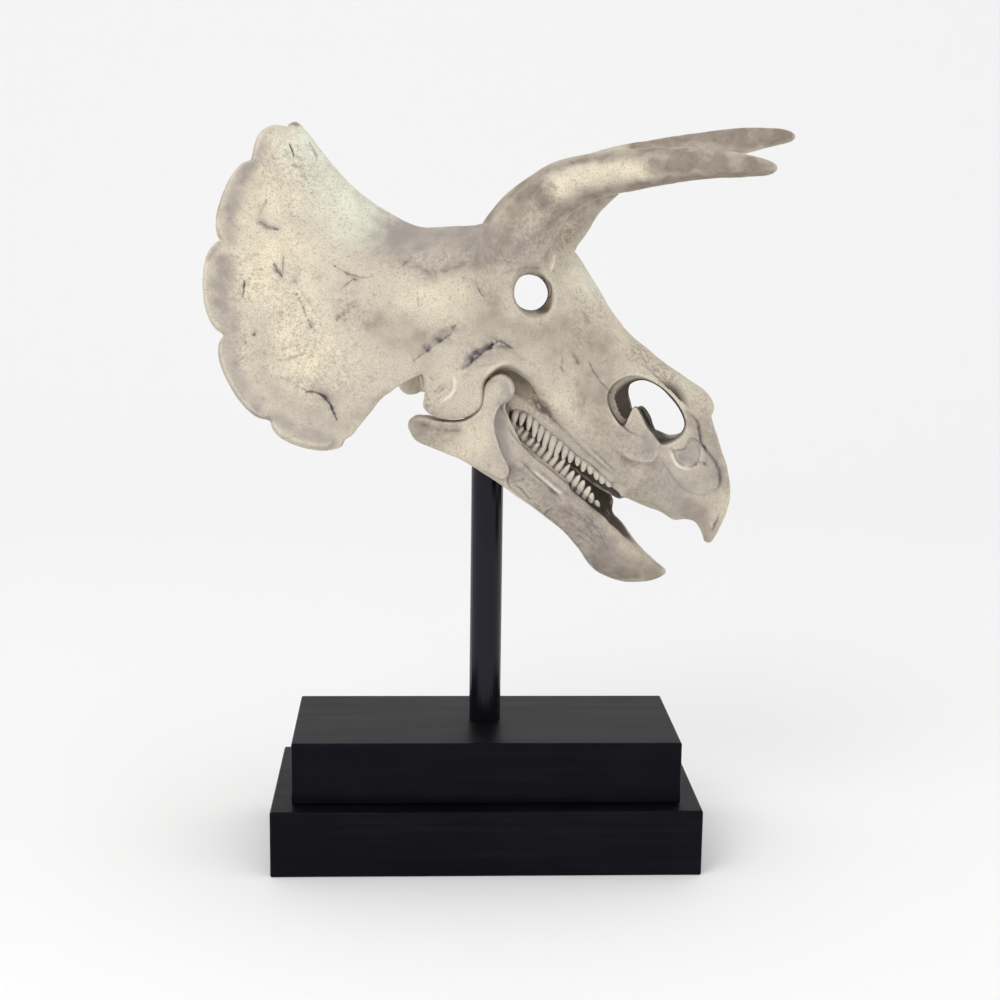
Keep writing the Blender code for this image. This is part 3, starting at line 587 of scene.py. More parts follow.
# Built-up and carved forms, each an outline of corners.
CHEEK_LOBE = [
    (450, 330, -54), (436, 352, -63), (428, 372, -71), (425.5, 384, -75), (427, 394, -77),
    (423.5, 403, -77), (427, 411, -77), (436, 417.5, -78), (450, 418.5, -79), (465, 416.5, -79),
    (477, 409, -79), (481, 399, -78), (483, 387, -76), (489, 374, -73), (497, 366, -69), (508, 361, -64),
    (516, 345, -57), (490, 322, -54),
]
MOUTH = [
    (481.5, 394, -77, 487, 396, -46), (483, 382, -74, 489, 387, -46), (489, 373, -70, 494, 380, -46),
    (497, 368, -66, 500, 377, -46), (506, 366, -62, 507, 377, -46), (517, 369.5, -58, 514, 382, -45),
    (526, 378, -56, 518, 391, -44.5), (533, 390, -54, 522, 401, -44), (544, 404, -51, 530, 413, -43),
    (560, 421, -47, 546, 428, -41), (580, 444, -42, 570, 447, -38), (600, 463, -37, 592, 464, -35),
    (614, 476, -33, 608, 477, -33), (626, 489, -31, 622, 489, -31), (622, 506, -40, 618, 500, -31),
    (596, 500, -45, 592, 490, -34), (560, 480, -50, 556, 470, -38), (530, 456, -56, 528, 447, -42),
    (505, 440, -66, 505, 428, -44), (488, 418, -74, 490, 412, -46),
]
NARES_RIM = [
    (607.5, 400), (610, 389), (619, 380), (631, 376), (645, 377.5), (660, 385), (673, 397), (682, 410),
    (686, 424), (682, 435), (673, 442), (662, 445), (652, 442), (640, 438), (626, 431), (613, 415),
]
NARES_THROUGH = [
    (630, 401), (628.5, 392), (630, 384.5), (637, 380.5), (646, 380.5), (658, 386), (670, 397),
    (679, 409), (684, 423), (681, 432), (675, 437.5), (667, 438.5), (661, 437), (655, 432), (645, 425),
    (634, 412),
]
NOSE_FIN = [
    (612, 438, -31), (621, 431, -30), (627, 420, -27), (631, 411, -24), (634.5, 407, -22),
    (638.5, 410, -22), (643, 418, -23.5), (648, 428, -25.5), (658, 443, -28), (652, 462, -32),
    (628, 458, -33),
]
FAR_FIN = [
    (630, 424, 15), (635, 410, 19), (641, 405, 20), (646, 408, 20), (651, 416, 20), (655, 427, 21),
    (661, 436, 22), (670, 441, 24), (664, 456, 26), (640, 452, 26),
]
JAW_PLATE = [
    (411, 425, -78), (420, 418.5, -80), (440, 423.5, -81), (462, 422, -80), (476, 413.5, -78),
    (484, 403, -76), (484, 388, -73), (490, 379, -70), (500, 375.5, -69), (509.5, 381, -68),
    (513, 391, -68), (510, 400, -70), (502, 405, -72), (496, 412, -74), (494, 424, -75), (497, 440, -75),
    (503, 455, -74), (509, 468, -72), (503, 480, -72), (487, 472, -74), (465, 460, -77), (440, 448, -79),
    (420, 439, -80),
]
JAW_ROOT = [
    (499, 398, -58), (503, 405, -56), (506, 414, -52), (508, 424, -48), (515, 437, -47),
    (525, 445.5, -46.5), (535, 456.5, -45.5), (545, 464.5, -44.5), (555, 472.5, -43.5), (566, 482, -43),
    (562, 494, -50), (540, 482, -56), (522, 468, -60), (507, 455, -64), (498, 430, -66), (497, 410, -64),
]
# What is cut away under the frill, between its last scallop and the cheek, and how deep (v, v).
UNDER_FRILL = [
    (344, 442.5), (352, 435.5), (359, 427), (366, 418.5), (380.6, 400), (392, 390.5), (399, 385.5),
    (409, 380), (418, 375.5), (423, 376), (423, 400), (405, 430), (380, 460), (350, 465),
]
UNDER_FRILL_DEPTH = (-190, -16)
# The dark gap behind and between the teeth.
BITE = [
    (508, 411, -60, 508, 413, -27), (522, 412.5, -60, 521, 414, -27), (530, 418, -58, 530, 420, -27),
    (541, 428, -56, 541, 430, -26.5), (552, 437, -54, 552, 439, -26), (563, 445, -52, 563, 447, -25.5),
    (575, 456, -50, 575, 458, -25), (590, 466, -48, 590, 468, -22), (600, 475, -46, 600, 477, -20),
    (612, 485, -44, 611, 486, -19), (623, 495, -42, 620, 496, -18), (618, 514, -46, 614, 512, -18),
    (588, 508, -50, 588, 506, -22), (562, 488, -54, 562, 486, -25), (540, 472, -56, 540, 470, -26),
    (520, 456, -60, 520, 454, -27), (505, 440, -60, 506, 438, -27),
]


def sculpt_skull():
    clay = Clay(*SKULL_BLOCK)
    clay.add(pear_block(FACE_SLICES), 1)
    clay.add(pear_block(PALATE_SLICES), 5)
    clay.add(frill(), 7)
    for side in (-1, 1):
        clay.add(quadrate(side), 6)
        clay.add(tube(UPPER_TOOTH_BAR, side), 3)
        clay.add(tube(CHEEK_RIM, side), 8)
    clay.add(tube(HORN_LINE, -1), 16)
    clay.add(left_horn(), 14)
    clay.add(tube(LEFT_HORN_KEEL, 1), 6)
    clay.add(tube(CONDYLE_LINE, 1), 4)
    clay.add(tube(NOSE_BOSS, 1), 4)
    for part in both_sides(plate(CHEEK_LOBE, -52)):
        clay.add(part, 6)
    clay.smooth(2.6)
    for hollow, rounding in (
        (sight_cut(UNDER_FRILL, UNDER_FRILL_DEPTH), 2),
        (pit(MOUTH, -100), 2.5),
        (pit(BITE, -90), 1.2),
    ):
        for part in both_sides(hollow):
            clay.carve(part, rounding)
    clay.carve(orbit_tunnel(), 3)
    clay.carve(nares_window(), 1.5)
    clay.carve(palate_vault(), 3)
    clay.add(plate(NOSE_FIN, -15), 5)
    clay.add(plate(FAR_FIN, 12), 2)
    clay.add(tube(BEAK_HOOK, 1), 3)
    clay.add(tube(BOSS_CREST, 1), 3)
    clay.smooth(0.9)
    clay.carve(rod_socket(), 0.5)
    return clay.skin()


def sculpt_jaw():
    clay = Clay(*JAW_BLOCK)
    clay.add(pear_block(LOWER_BEAK_SLICES), 1)
    for side in (-1, 1):
        clay.add(jaw_side(side), 7)
        clay.add(tube(CORONOID_LINE, side), 5)
        clay.add(tube(LOWER_TOOTH_BAR, side), 4)
    for part in both_sides(plate(JAW_ROOT, -38)):
        clay.add(part, 8)
    clay.carve(tube(BEAK_TROUGH, 1), 4)
    for part in both_sides(plate(JAW_PLATE, -58)):
        clay.add(part, 4)
    clay.smooth(1.8)
    return clay.skin()


def spread_along(line, stations):
    """Points at even shares of a line's length."""
    line = np.array(line, float)
    run = np.concatenate([[0], np.cumsum(np.hypot(*np.diff(line, axis=0).T))])
    return np.stack([np.interp(stations * run[-1], run, line[:, k]) for k in (0, 1)], axis=1)


def tooth_quads(first):
    """The quads of one peg whose points start at a number."""
    count = TOOTH_SIDES
    quads = []
    for row in range(len(TOOTH_RINGS) - 1):
        for j in range(count):
            a, b = first + row * count + j, first + row * count + (j + 1) % count
            quads.append((a, b, b + count, a + count))
    for base, way in ((first, 1), (first + count * (len(TOOTH_RINGS) - 1), -1)):
        for j in range(count // 2 - 1):
            cap = (base + j, base + (count - 1 - j), base + (count - 2 - j), base + j + 1)
            quads.append(cap[::way])
    return quads


def tooth_row(row):
    """Points and quads of one row of rounded pegs, and how dark each point is: painted shade where a tooth
    faces the next one and near its root, and lighter at its tip.
    """
    rng = np.random.default_rng(row.seed)
    stations = np.linspace(0, 1, TEETH_PER_ROW + 1)
    gum, tips = (spread_along(line, stations) for line in (row.gum, row.tips))
    around = math.tau * (np.arange(TOOTH_SIDES) + 0.5) / TOOTH_SIDES
    points, quads, stain = [], [], []
    for k in range(TEETH_PER_ROW):
        v = row.depth[0] + (row.depth[1] - row.depth[0]) * (k + 0.5) / TEETH_PER_ROW
        back, front = (seen(*gum[k + i], v) for i in (0, 1))
        root = (back + front) / 2
        reach = 1 + rng.uniform(-0.16, 0.08)
        tip = seen(*(tips[k] + tips[k + 1]) / 2 + rng.uniform(-0.9, 0.9, 2), v) - root
        along = (front - back) / 2 * rng.uniform(0.88, 1.06)
        out = np.array([0, -1, 0]) * 0.8 * np.linalg.norm(along)
        quads += tooth_quads(len(points) * TOOTH_SIDES)
        # Painted shade on the sides of each tooth that face its neighbours.
        shade_between_teeth = np.clip(abs(np.cos(around)) * 1.6 - 0.85, 0, 1)
        for at, girth in TOOTH_RINGS:
            bulge = out * (0.25 * (1 - at) if at > 0 else 2.2 * at)
            across = np.cos(around)[:, None] * along + np.sin(around)[:, None] * out
            points.append(root + tip * at * reach + bulge + girth * across)
            # Painted shade near the root; the tip comes out lighter.
            stain.append(shade_between_teeth + max(0, 0.35 - at) - 0.5 * (at > 0.7))
    return np.concatenate(points), np.array(quads), np.concatenate(stain)


def outward(points, quads):
    """The quads turned so that they face out."""
    a, b, c = points[quads[:, 0]], points[quads[:, 1]], points[quads[:, 2]]
    total = np.einsum("ij,ij->i", a, np.cross(b, c)).sum()
    return quads if total > 0 else quads[:, ::-1]


def largest_body(points, quads):
    """Leaves out crumbs that carving cut loose."""
    label = np.arange(len(points))
    while True:
        low = label[quads].min(axis=1)
        new = label.copy()
        np.minimum.at(new, quads.ravel(), np.repeat(low, 4))
        new = new[new]
        if (new == label).all():
            break
        label = new
    names, counts = np.unique(label, return_counts=True)
    keep = label == names[counts.argmax()]
    index = np.cumsum(keep) - 1
    return points[keep], index[quads[keep[quads[:, 0]]]]


# Scars in the bone: width in pixels, depth in mm (below 0 is a ridge), how dark (below 0, a painted
# highlight along the ridge), and the line the camera sees each one along.
SKULL_SCARS = [
    (3.2, 0.9, 0.85, [(260, 221), (266, 226), (279, 229)]),
    (2.4, 0.3, 0.4, [(258, 222), (261, 211), (267, 199)]),
    (2.6, 0.5, 0.6, [(257, 255), (258, 256)]),
    (2.4, 0.4, 0.45, [(260, 269), (262, 270)]),
    (3.2, 0.7, 0.75, [(274, 264), (278, 270), (282, 276)]),
    (1.6, 0.5, 0.6, [(284, 257), (283, 274)]),
    (2.6, 0.5, 0.6, [(295, 278), (296, 283)]),
    (2.2, 0.9, 0.9, [(296, 294), (297, 296)]),
    (1.2, 0.6, 0.8, [(299, 298), (303, 307), (306, 315)]),
    (3.0, 0.8, 0.85, [(308, 319), (311, 327)]),
    (1.3, 1.0, 1.0, [(245, 281), (243, 297)]),
    (4.0, 0.2, 0.35, [(317, 276), (321, 278)]),
    (1.0, 0.5, 0.75, [(333, 265), (349, 274), (364, 278), (373, 276)]),
    (1.0, 0.4, 0.6, [(343, 288), (352, 279), (364, 278)]),
    (4.0, 0.2, 0.35, [(345, 272), (360, 282)]),
    (4.0, 0.4, 0.5, [(337, 320), (344, 311), (354, 305)]),
    (3.4, 0.4, 0.45, [(348, 328), (350, 331)]),
    (2.8, 0.2, 0.35, [(366, 326), (372, 323)]),
    (2.0, 0.7, 0.9, [(255, 333), (255, 335)]),
    (1.6, 0.5, 0.7, [(245, 341), (246, 344)]),
    (2.0, 0.2, 0.4, [(277, 360), (288, 358), (303, 354)]),
    (3.2, 0.3, 0.5, [(296, 381), (302, 378)]),
    (0.8, 0.3, 0.25, [(281, 377), (298, 386), (308, 391)]),
    (2.0, 1.6, 1.5, [(306, 392), (311, 390.5), (317, 392), (325, 398), (331, 406), (335, 413)]),
    (5.0, 0.2, 0.35, [(312, 386), (324, 392), (332, 402)]),
    (1.0, 0.8, 0.9, [(334, 412), (337, 420)]),
    (1.2, 0.9, 1.0, [(290, 144), (292, 149), (294, 156)]),
    (2.6, 0.3, 0.45, [(291, 166), (300, 167)]),
    (1.3, 0.4, 0.6, [(305, 174), (307, 181)]),
    (1.4, 0.3, 0.4, [(310, 145), (314, 151), (318, 159)]),
    (7.0, 1.3, 0.85, [(424, 350), (431, 344), (438, 339), (446, 333), (456, 325)]),
    (1.2, 0.4, 0.8, [(414, 361), (424, 353), (432, 347), (442, 340), (452, 333)]),
    (1.2, 0.5, 0.6, [(414, 361), (422, 355), (428, 347)]),
    (7.0, 1.3, 0.85, [(463, 368), (468, 360), (474, 354), (482, 349), (492, 344)]),
    (1.2, 0.4, 0.8, [(467, 366), (474, 359), (482, 353), (492, 347)]),
    (1.6, 0.7, 0.8, [(490, 345), (500, 341), (508, 345), (513, 349)]),
    (2.2, 0.2, 0.35, [(498, 346), (508, 347)]),
    (1.1, 0.4, 0.6, [(478, 285), (479, 291), (484, 297)]),
    (5.0, 0.3, 0.45, [(440, 272), (452, 268), (468, 262)]),
    (1.2, 0.2, 0.45, [(398, 270), (404, 264), (412, 257)]),
    (5.5, 0.1, 0.28, [(396, 262), (412, 262), (432, 276)]),
    (0.9, 0.5, 0.7, [(589, 362), (594, 371), (600, 381), (611, 393)]),
    (0.8, 0.3, 0.5, [(560, 352), (563, 360), (561, 367), (565, 376)]),
    (2.6, 0.7, 0.75, [(572, 353), (576, 358), (579, 364)]),
    (1.0, 0.3, 0.5, [(579, 336), (581, 344)]),
    (4.5, 0.2, 0.35, [(584, 312), (590, 322)]),
    (0.9, 0.4, 0.6, [(640, 363), (648, 369), (657, 371)]),
    (0.9, 0.4, 0.6, [(646, 366), (652, 374), (660, 378)]),
    (1.9, 1.4, 1.0, [(713, 528), (716, 522), (719, 516)]),
    (4.2, 0.7, 0.6, [(534, 400), (541, 407), (550, 417)]),
    (1.4, -0.5, -0.9, [(538, 404), (540, 407)]),
    (2.0, 1.2, 0.8, [(695, 466), (698, 465)]),
    (2.2, 1.3, 0.8, [(704, 462), (706, 465)]),
]
JAW_SCARS = [
    (1.2, 0.5, 0.6, [(511, 484), (517, 482), (524, 480)]),
    (1.6, 0.7, 0.55, [(516, 487), (523, 492), (529, 501)]),
    (1.2, 0.5, 0.55, [(541, 519), (547, 512), (552, 508)]),
    (3.5, 0.2, 0.45, [(421, 424), (440, 430), (458, 431)]),
    (0.8, 0.3, 0.45, [(560, 508), (572, 516), (590, 524), (602, 528)]),
    (0.8, 0.3, 0.45, [(566, 518), (578, 530), (588, 536), (602, 548)]),
    (0.8, 0.3, 0.45, [(572, 510), (584, 520), (592, 534), (606, 540)]),
    (0.8, 0.3, 0.45, [(578, 536), (590, 544), (600, 556)]),
    (0.8, 0.3, 0.4, [(586, 514), (598, 530), (608, 552)]),
    (1.4, 0.6, 0.45, [(604, 508), (614, 524), (625, 539)]),
    (5.0, 0.0, 0.22, [(516, 505), (540, 515), (560, 530)]),
]

# Smooth grooves (and ridges, below 0), in the same terms: their darkness is painted shade in the groove,
# and below 0 a painted highlight along the ridge.
SKULL_GROOVES = [
    (1.7, 1.0, 0.95, [
        (686, 412), (693, 416), (698, 423), (700, 433), (702, 443), (708, 452), (715, 461), (720, 473),
        (720, 484), (715, 491),
    ]),
    (1.2, 0.4, 0.3, [(713, 492), (704, 495), (694, 494), (685, 490), (675, 480), (668, 470), (660, 459)]),
    (1.6, -0.9, -0.7, [(671, 451), (674, 460), (680, 467), (690, 469)]),
    (1.0, 0.5, 0.6, [
        (672, 449), (677, 450), (684, 449), (688, 444), (690, 439), (695, 439), (699, 443), (701, 452),
    ]),
    (2.0, -1.4, -0.6, [(454, 376), (455, 386), (451, 395), (442, 402)]),
    (7.0, 1.2, 0.2, [(438, 386), (443, 391)]),
    (1.0, 1.0, 0.7, [(548, 280), (551, 290), (549, 300)]),
    (2.2, 0.5, 0.3, [(500, 275), (515, 271), (530, 268), (545, 268)]),
    (1.6, -1.0, -0.8, [(554, 254), (553, 262), (551, 271)]),
    (3.2, 0.9, 0.35, [(548, 250), (546, 264)]),
    (2.8, -0.6, -0.3, [(544, 407), (567, 431), (590, 453), (612, 472)]),
    (2.2, 0.7, 0.42, [(540, 400), (556, 421), (584, 450), (613, 475)]),
    (1.2, 0.4, 0.45, [(590, 447), (602, 459), (616, 472)]),
    (1.0, 0.5, 0.8, [
        (513, 411), (522, 411), (531, 417), (542, 427), (553, 436), (564, 444), (576, 455), (591, 465),
        (601, 474), (613, 484),
    ]),
    (3.0, -0.8, -0.25, [(484, 380), (490, 371), (498, 365), (508, 363), (519, 367), (528, 375)]),
    (3.0, 0.4, 0.25, [(500, 345), (512, 352), (526, 362)]),
]
JAW_GROOVES = [
    (1.8, -0.9, -0.4, [(530, 468), (545, 480), (556, 490), (564, 498)]),
    (1.8, 0.9, 0.45, [(520, 458), (538, 478), (558, 497)]),
    (1.4, 0.4, 0.35, [(536, 466), (556, 484), (575, 500)]),
    (1.0, 0.6, 0.9, [
        (509, 426), (516, 437), (525, 445), (535, 456), (545, 464), (555, 472), (565, 481), (578, 490),
        (589, 499), (600, 507),
    ]),
    (4.0, 0.8, 0.35, [(509, 392), (511, 398), (505, 403), (500, 408)]),
    (3.0, 0.5, 0.3, [(417, 424), (440, 429), (460, 429)]),
]

# Steps in the surface: depth in mm (below 0 is raised), width of the step and how fast it fades
# inwards in pixels, and the outline.
SKULL_STEPS = [
    (0.5, 3.0, 900, [
        (687, 413), (697, 420), (700, 432), (701, 442), (708, 452), (715, 461), (720, 472), (720, 484),
        (713, 491), (704, 495), (694, 495), (684, 490), (675, 480), (668, 468), (664, 459), (666, 450),
        (676, 440), (682, 428),
    ]),
    (1.3, 2.2, 900, [
        (670, 448), (672, 456), (677, 465), (685, 470), (694, 469), (700, 462), (702, 452), (698, 442),
        (693, 438), (689, 441), (686, 447), (677, 450),
    ]),
    (1.2, 5.0, 14, [
        (500, 258), (520, 262), (545, 262), (560, 272), (570, 290), (566, 312), (550, 326), (528, 328),
        (508, 318), (497, 300), (495, 278),
    ]),
    (-0.6, 5.0, 900, [
        (504, 292), (507, 276), (520, 265), (537, 262), (552, 268), (562, 280), (564, 296), (556, 312),
        (540, 320), (522, 318), (509, 308),
    ]),
]
JAW_STEPS = [
    (3.0, 1.8, 30, [
        (514, 396), (509, 402), (503, 405), (497, 411), (494, 424), (497, 440), (502, 455), (509, 471),
        (506, 486), (520, 530), (580, 620), (720, 640), (720, 470), (570, 400), (530, 380),
    ]),
]

# Rough patches: width in pixels, height in mm, how dark, line.
SKULL_ROUGH = [
    (17, 0.13, 0.8, [(508, 250), (516, 222), (534, 198)]),
    (20, 0.13, 0.8, [(500, 250), (530, 240), (552, 232)]),
    (9, 0.2, 1.0, [(564, 244), (572, 225), (584, 208)]),
    (9, 0.1, 1.2, [(524, 198), (538, 185), (545, 200), (560, 212)]),
    (5, 0.08, 1.0, [(650, 161), (662, 165)]),
    (7, 0.1, 1.3, [(686, 166), (702, 160), (718, 172)]),
    (6, 0.08, 1.2, [(700, 153), (722, 156)]),
    (5, 0.08, 1.0, [(690, 130), (702, 136)]),
    (4, 0.1, 1.2, [(761, 128), (765, 141)]),
    (26, 0.05, 0.4, [(275, 165), (300, 175)]),
    (14, 0.05, 0.4, [(232, 260), (236, 310), (246, 350)]),
    (30, 0.04, 0.4, [(270, 290), (300, 340), (330, 380)]),
    (14, 0.06, 0.5, [(345, 300), (362, 320)]),
    (16, 0.06, 0.5, [(395, 262), (430, 262), (470, 262)]),
    (12, 0.08, 0.5, [(478, 285), (490, 300)]),
    (16, 0.06, 0.5, [(590, 310), (575, 350)]),
    (10, 0.14, 0.9, [(636, 350), (656, 366), (668, 378)]),
    (12, 0.08, 0.5, [(700, 400), (705, 425), (722, 450), (728, 490)]),
    (9, 0.12, 1.0, [(534, 400), (550, 417)]),
    (8, 0.14, 0.7, [(425, 400), (432, 412)]),
    (26, 0.04, 0.5, [(600, 420), (650, 480)]),
]
JAW_ROUGH = [
    (12, 0.14, 1.0, [(540, 508), (566, 512), (588, 520), (600, 545)]),
    (10, 0.14, 1.0, [(556, 525), (580, 545)]),
    (14, 0.07, 0.6, [(520, 470), (550, 500)]),
    (14, 0.07, 0.6, [(412, 425), (440, 435)]),
    (14, 0.07, 0.5, [(610, 555), (655, 572)]),
]

# Washes of paint, which also carry painted light and shade: colour, width in pixels, strength, line.
# The greenish layer is a nearly white painted highlight; the pale yellow layer is the bone's tone and a
# painted highlight on lit tops; the brownish and purplish greys are the paint's tone and painted shade
# under edges, on undersides and inside the scallops' rims.
WASH_AND_SHADING_COLOURS = ("cream", "green", "brown", "violet")
WASHES_AND_SHADING = [
    ("cream", 46, 1.1, [(270, 260), (285, 330), (300, 350)]),
    ("cream", 30, 1.0, [(290, 150), (285, 195)]),
    ("cream", 26, 0.6, [(420, 300), (460, 300)]),
    ("cream", 12, 1.0, [(552, 192), (580, 178), (615, 170), (650, 170)]),
    ("cream", 22, 0.5, [(455, 440), (480, 440)]),
    ("cream", 20, 0.5, [(585, 280), (615, 330)]),
    ("cream", 9, 0.9, [(728, 455), (728, 510)]),
    ("cream", 12, 0.6, [(560, 400), (590, 430), (640, 475)]),
    ("green", 26, 1.0, [(305, 145), (330, 185), (352, 212)]),
    ("green", 20, 0.8, [(345, 225), (380, 228)]),
    ("green", 12, 0.5, [(580, 262), (598, 296)]),
    ("violet", 8, 1.3, [(256, 150), (240, 180), (231, 210), (229, 238)]),
    ("violet", 11, 1.3, [(224, 262), (220, 285), (224, 312), (232, 328)]),
    ("violet", 10, 1.2, [(230, 345), (232, 370), (243, 392), (258, 406)]),
    ("violet", 10, 0.9, [(275, 415), (295, 432), (330, 440)]),
    ("violet", 14, 0.6, [(262, 320), (262, 370), (285, 400), (330, 425)]),
    ("violet", 8, 0.8, [(318, 392), (330, 404)]),
    ("brown", 8, 0.6, [(388, 395), (372, 408), (350, 424)]),
    ("brown", 3, 1.2, [(286, 123.5), (292, 123), (298, 124)]),
    ("brown", 3, 0.8, [(227, 180), (219, 204), (219, 225), (221, 240), (208, 258)]),
    ("brown", 3, 0.7, [(225, 334), (218, 348), (218, 364), (225, 386), (237, 404), (253, 414), (271, 419)]),
    ("violet", 22, 1.3, [(385, 240), (420, 240), (455, 238), (480, 245)]),
    ("brown", 12, 0.9, [(400, 232), (450, 232), (482, 230)]),
    ("brown", 9, 0.6, [(430, 275), (450, 270), (475, 262), (500, 258)]),
    ("brown", 16, 0.9, [(497, 248), (510, 222), (525, 205)]),
    ("violet", 14, 0.9, [(520, 255), (545, 240)]),
    ("brown", 18, 0.7, [(380, 320), (420, 340)]),
    ("brown", 16, 0.6, [(490, 300), (495, 325), (530, 335), (560, 330)]),
    ("brown", 26, 0.6, [(480, 310), (500, 345)]),
    ("brown", 6, 1.3, [(488, 220), (505, 197), (527, 180), (550, 168), (580, 160), (640, 153), (700, 153)]),
    ("brown", 12, 1.5, [(655, 166), (700, 162), (740, 163), (772, 167)]),
    ("brown", 9, 1.3, [(585, 200), (620, 191), (660, 184), (720, 178), (765, 172)]),
    ("brown", 12, 1.3, [(524, 200), (536, 188), (545, 204)]),
    ("brown", 10, 1.2, [(548, 222), (560, 212), (580, 205), (600, 200)]),
    ("brown", 16, 1.6, [(640, 144), (700, 136), (760, 134), (796, 136)]),
    ("brown", 10, 0.7, [(574, 232), (590, 214)]),
    ("brown", 26, 0.7, [(560, 335), (600, 350), (596, 395)]),
    ("brown", 22, 0.5, [(620, 440), (600, 415)]),
    ("violet", 22, 0.8, [(560, 440), (620, 462), (680, 505)]),
    ("violet", 16, 1.0, [(645, 440), (655, 460)]),
    ("violet", 20, 0.9, [(672, 485), (705, 482), (712, 470)]),
    ("violet", 9, 1.6, [(684, 458), (692, 452), (694, 462)]),
    ("brown", 10, 0.8, [(690, 505), (712, 528), (706, 538)]),
    ("brown", 12, 0.6, [(690, 420), (712, 440), (722, 480)]),
    ("violet", 6, 0.8, [(507, 385), (509, 395)]),
    ("violet", 8, 1.4, [(502, 405), (500, 425), (504, 445), (512, 465)]),
    ("brown", 7, 0.8, [(488, 380), (500, 371), (515, 374), (528, 390)]),
    ("violet", 26, 0.9, [(520, 460), (560, 500), (600, 545)]),
    ("brown", 18, 0.9, [(565, 520), (600, 548)]),
    ("brown", 14, 0.9, [(420, 428), (450, 431)]),
    ("brown", 9, 1.4, [(590, 560), (610, 570), (635, 574)]),
    ("brown", 14, 1.1, [(600, 550), (630, 563), (655, 572)]),
    ("cream", 5, 0.8, [(606, 522), (625, 545), (645, 560)]),
]

# Insides with painted dark brownish shade, in the nostril and the eye sockets: centre (u, v, w), half
# sizes, strength and the way they face.
SKULL_SHADED_HOLLOWS = [
    ((145, 0, -42), (42, 40, 36), 1.0, (0, 0, 0)),
    ((56, 0, 64), (32, 66, 32), 0.85, (-1, 0, 0.15)),
]
# Painted shade in the gap behind the teeth: its outline, x at its two ends, and how far out from the
# middle (v) the shade reaches at each.
SHADE_BEHIND_TEETH = ([row[:2] for row in BITE], (508, 622), (36, 21))

Marks = collections.namedtuple("Marks", "steps rough scars grooves hollows")
SKULL_MARKS = Marks(SKULL_STEPS, SKULL_ROUGH, SKULL_SCARS, SKULL_GROOVES, SKULL_SHADED_HOLLOWS)
JAW_MARKS = Marks(JAW_STEPS, JAW_ROUGH, JAW_SCARS, JAW_GROOVES, [])
# Where hair scratches lie: lowest x, y, direction and length, then highest.
SCRATCH_RANGE = ((215, 130, 0, 5), (740, 580, math.tau, 20))


class Speckle:
    """Smooth noise in space, the same every run."""

    def __init__(self, seed, cells=48):
        self.cells = cells
        self.table = np.random.default_rng(seed).uniform(-1, 1, (cells,) * 3).astype(np.float32)

    def __call__(self, points, size):
        q = points / size
        low = np.floor(q).astype(int)
        t = q - low
        t = t * t * (3 - 2 * t)
        total = 0
        for corner in np.ndindex(2, 2, 2):
            i = (low + corner) % self.cells
            weight = np.prod(np.where(corner, t, 1 - t), axis=1)
            total = total + weight * self.table[i[:, 0], i[:, 1], i[:, 2]]
        return total

    def layered(self, points, size, layers):
        return sum(self(points + 17.3 * k, size / 2**k) / 2**k for k in range(layers))


def distance_to_line(at, line):
    """How far each place is from a line through corners, and how far along it, 0 to 1."""
    line = np.array(line, float)
    best = np.full(len(at), np.inf)
    along = np.zeros(len(at))
    for k, (a, b) in enumerate(zip(line, line[1:])):
        run = b - a
        t = np.clip((at - a) @ run / (run @ run), 0, 1)
        away = np.hypot(*(at - a - t[:, None] * run).T)
        along = np.where(away < best, (k + t) / (len(line) - 1), along)
        best = np.minimum(best, away)
    return best, along


def near(at, line, reach):
    """The numbers of the places that lie in a line's box, grown by its reach."""
    line = np.array(line, float)
    low, high = line.min(axis=0) - reach, line.max(axis=0) + reach
    return np.flatnonzero(((at > low) & (at < high)).all(axis=1))


def inside(at, corners):
    """The places inside a closed outline, and how far each is from it."""
    corners = np.array(curve_through(corners, 4))
    pick = near(at, corners, 2)
    here = at[pick]
    within = np.zeros(len(here), bool)
    for a, b in zip(corners, np.roll(corners, -1, axis=0)):
        crosses = (a[1] > here[:, 1]) != (b[1] > here[:, 1])
        x = a[0] + (here[:, 1] - a[1]) * (b[0] - a[0]) / (b[1] - a[1] + 1e-12)
        within ^= crosses & (here[:, 0] < x)
    pick = pick[within]
    return pick, distance_to_line(at[pick], np.vstack([corners, corners[:1]]))[0]


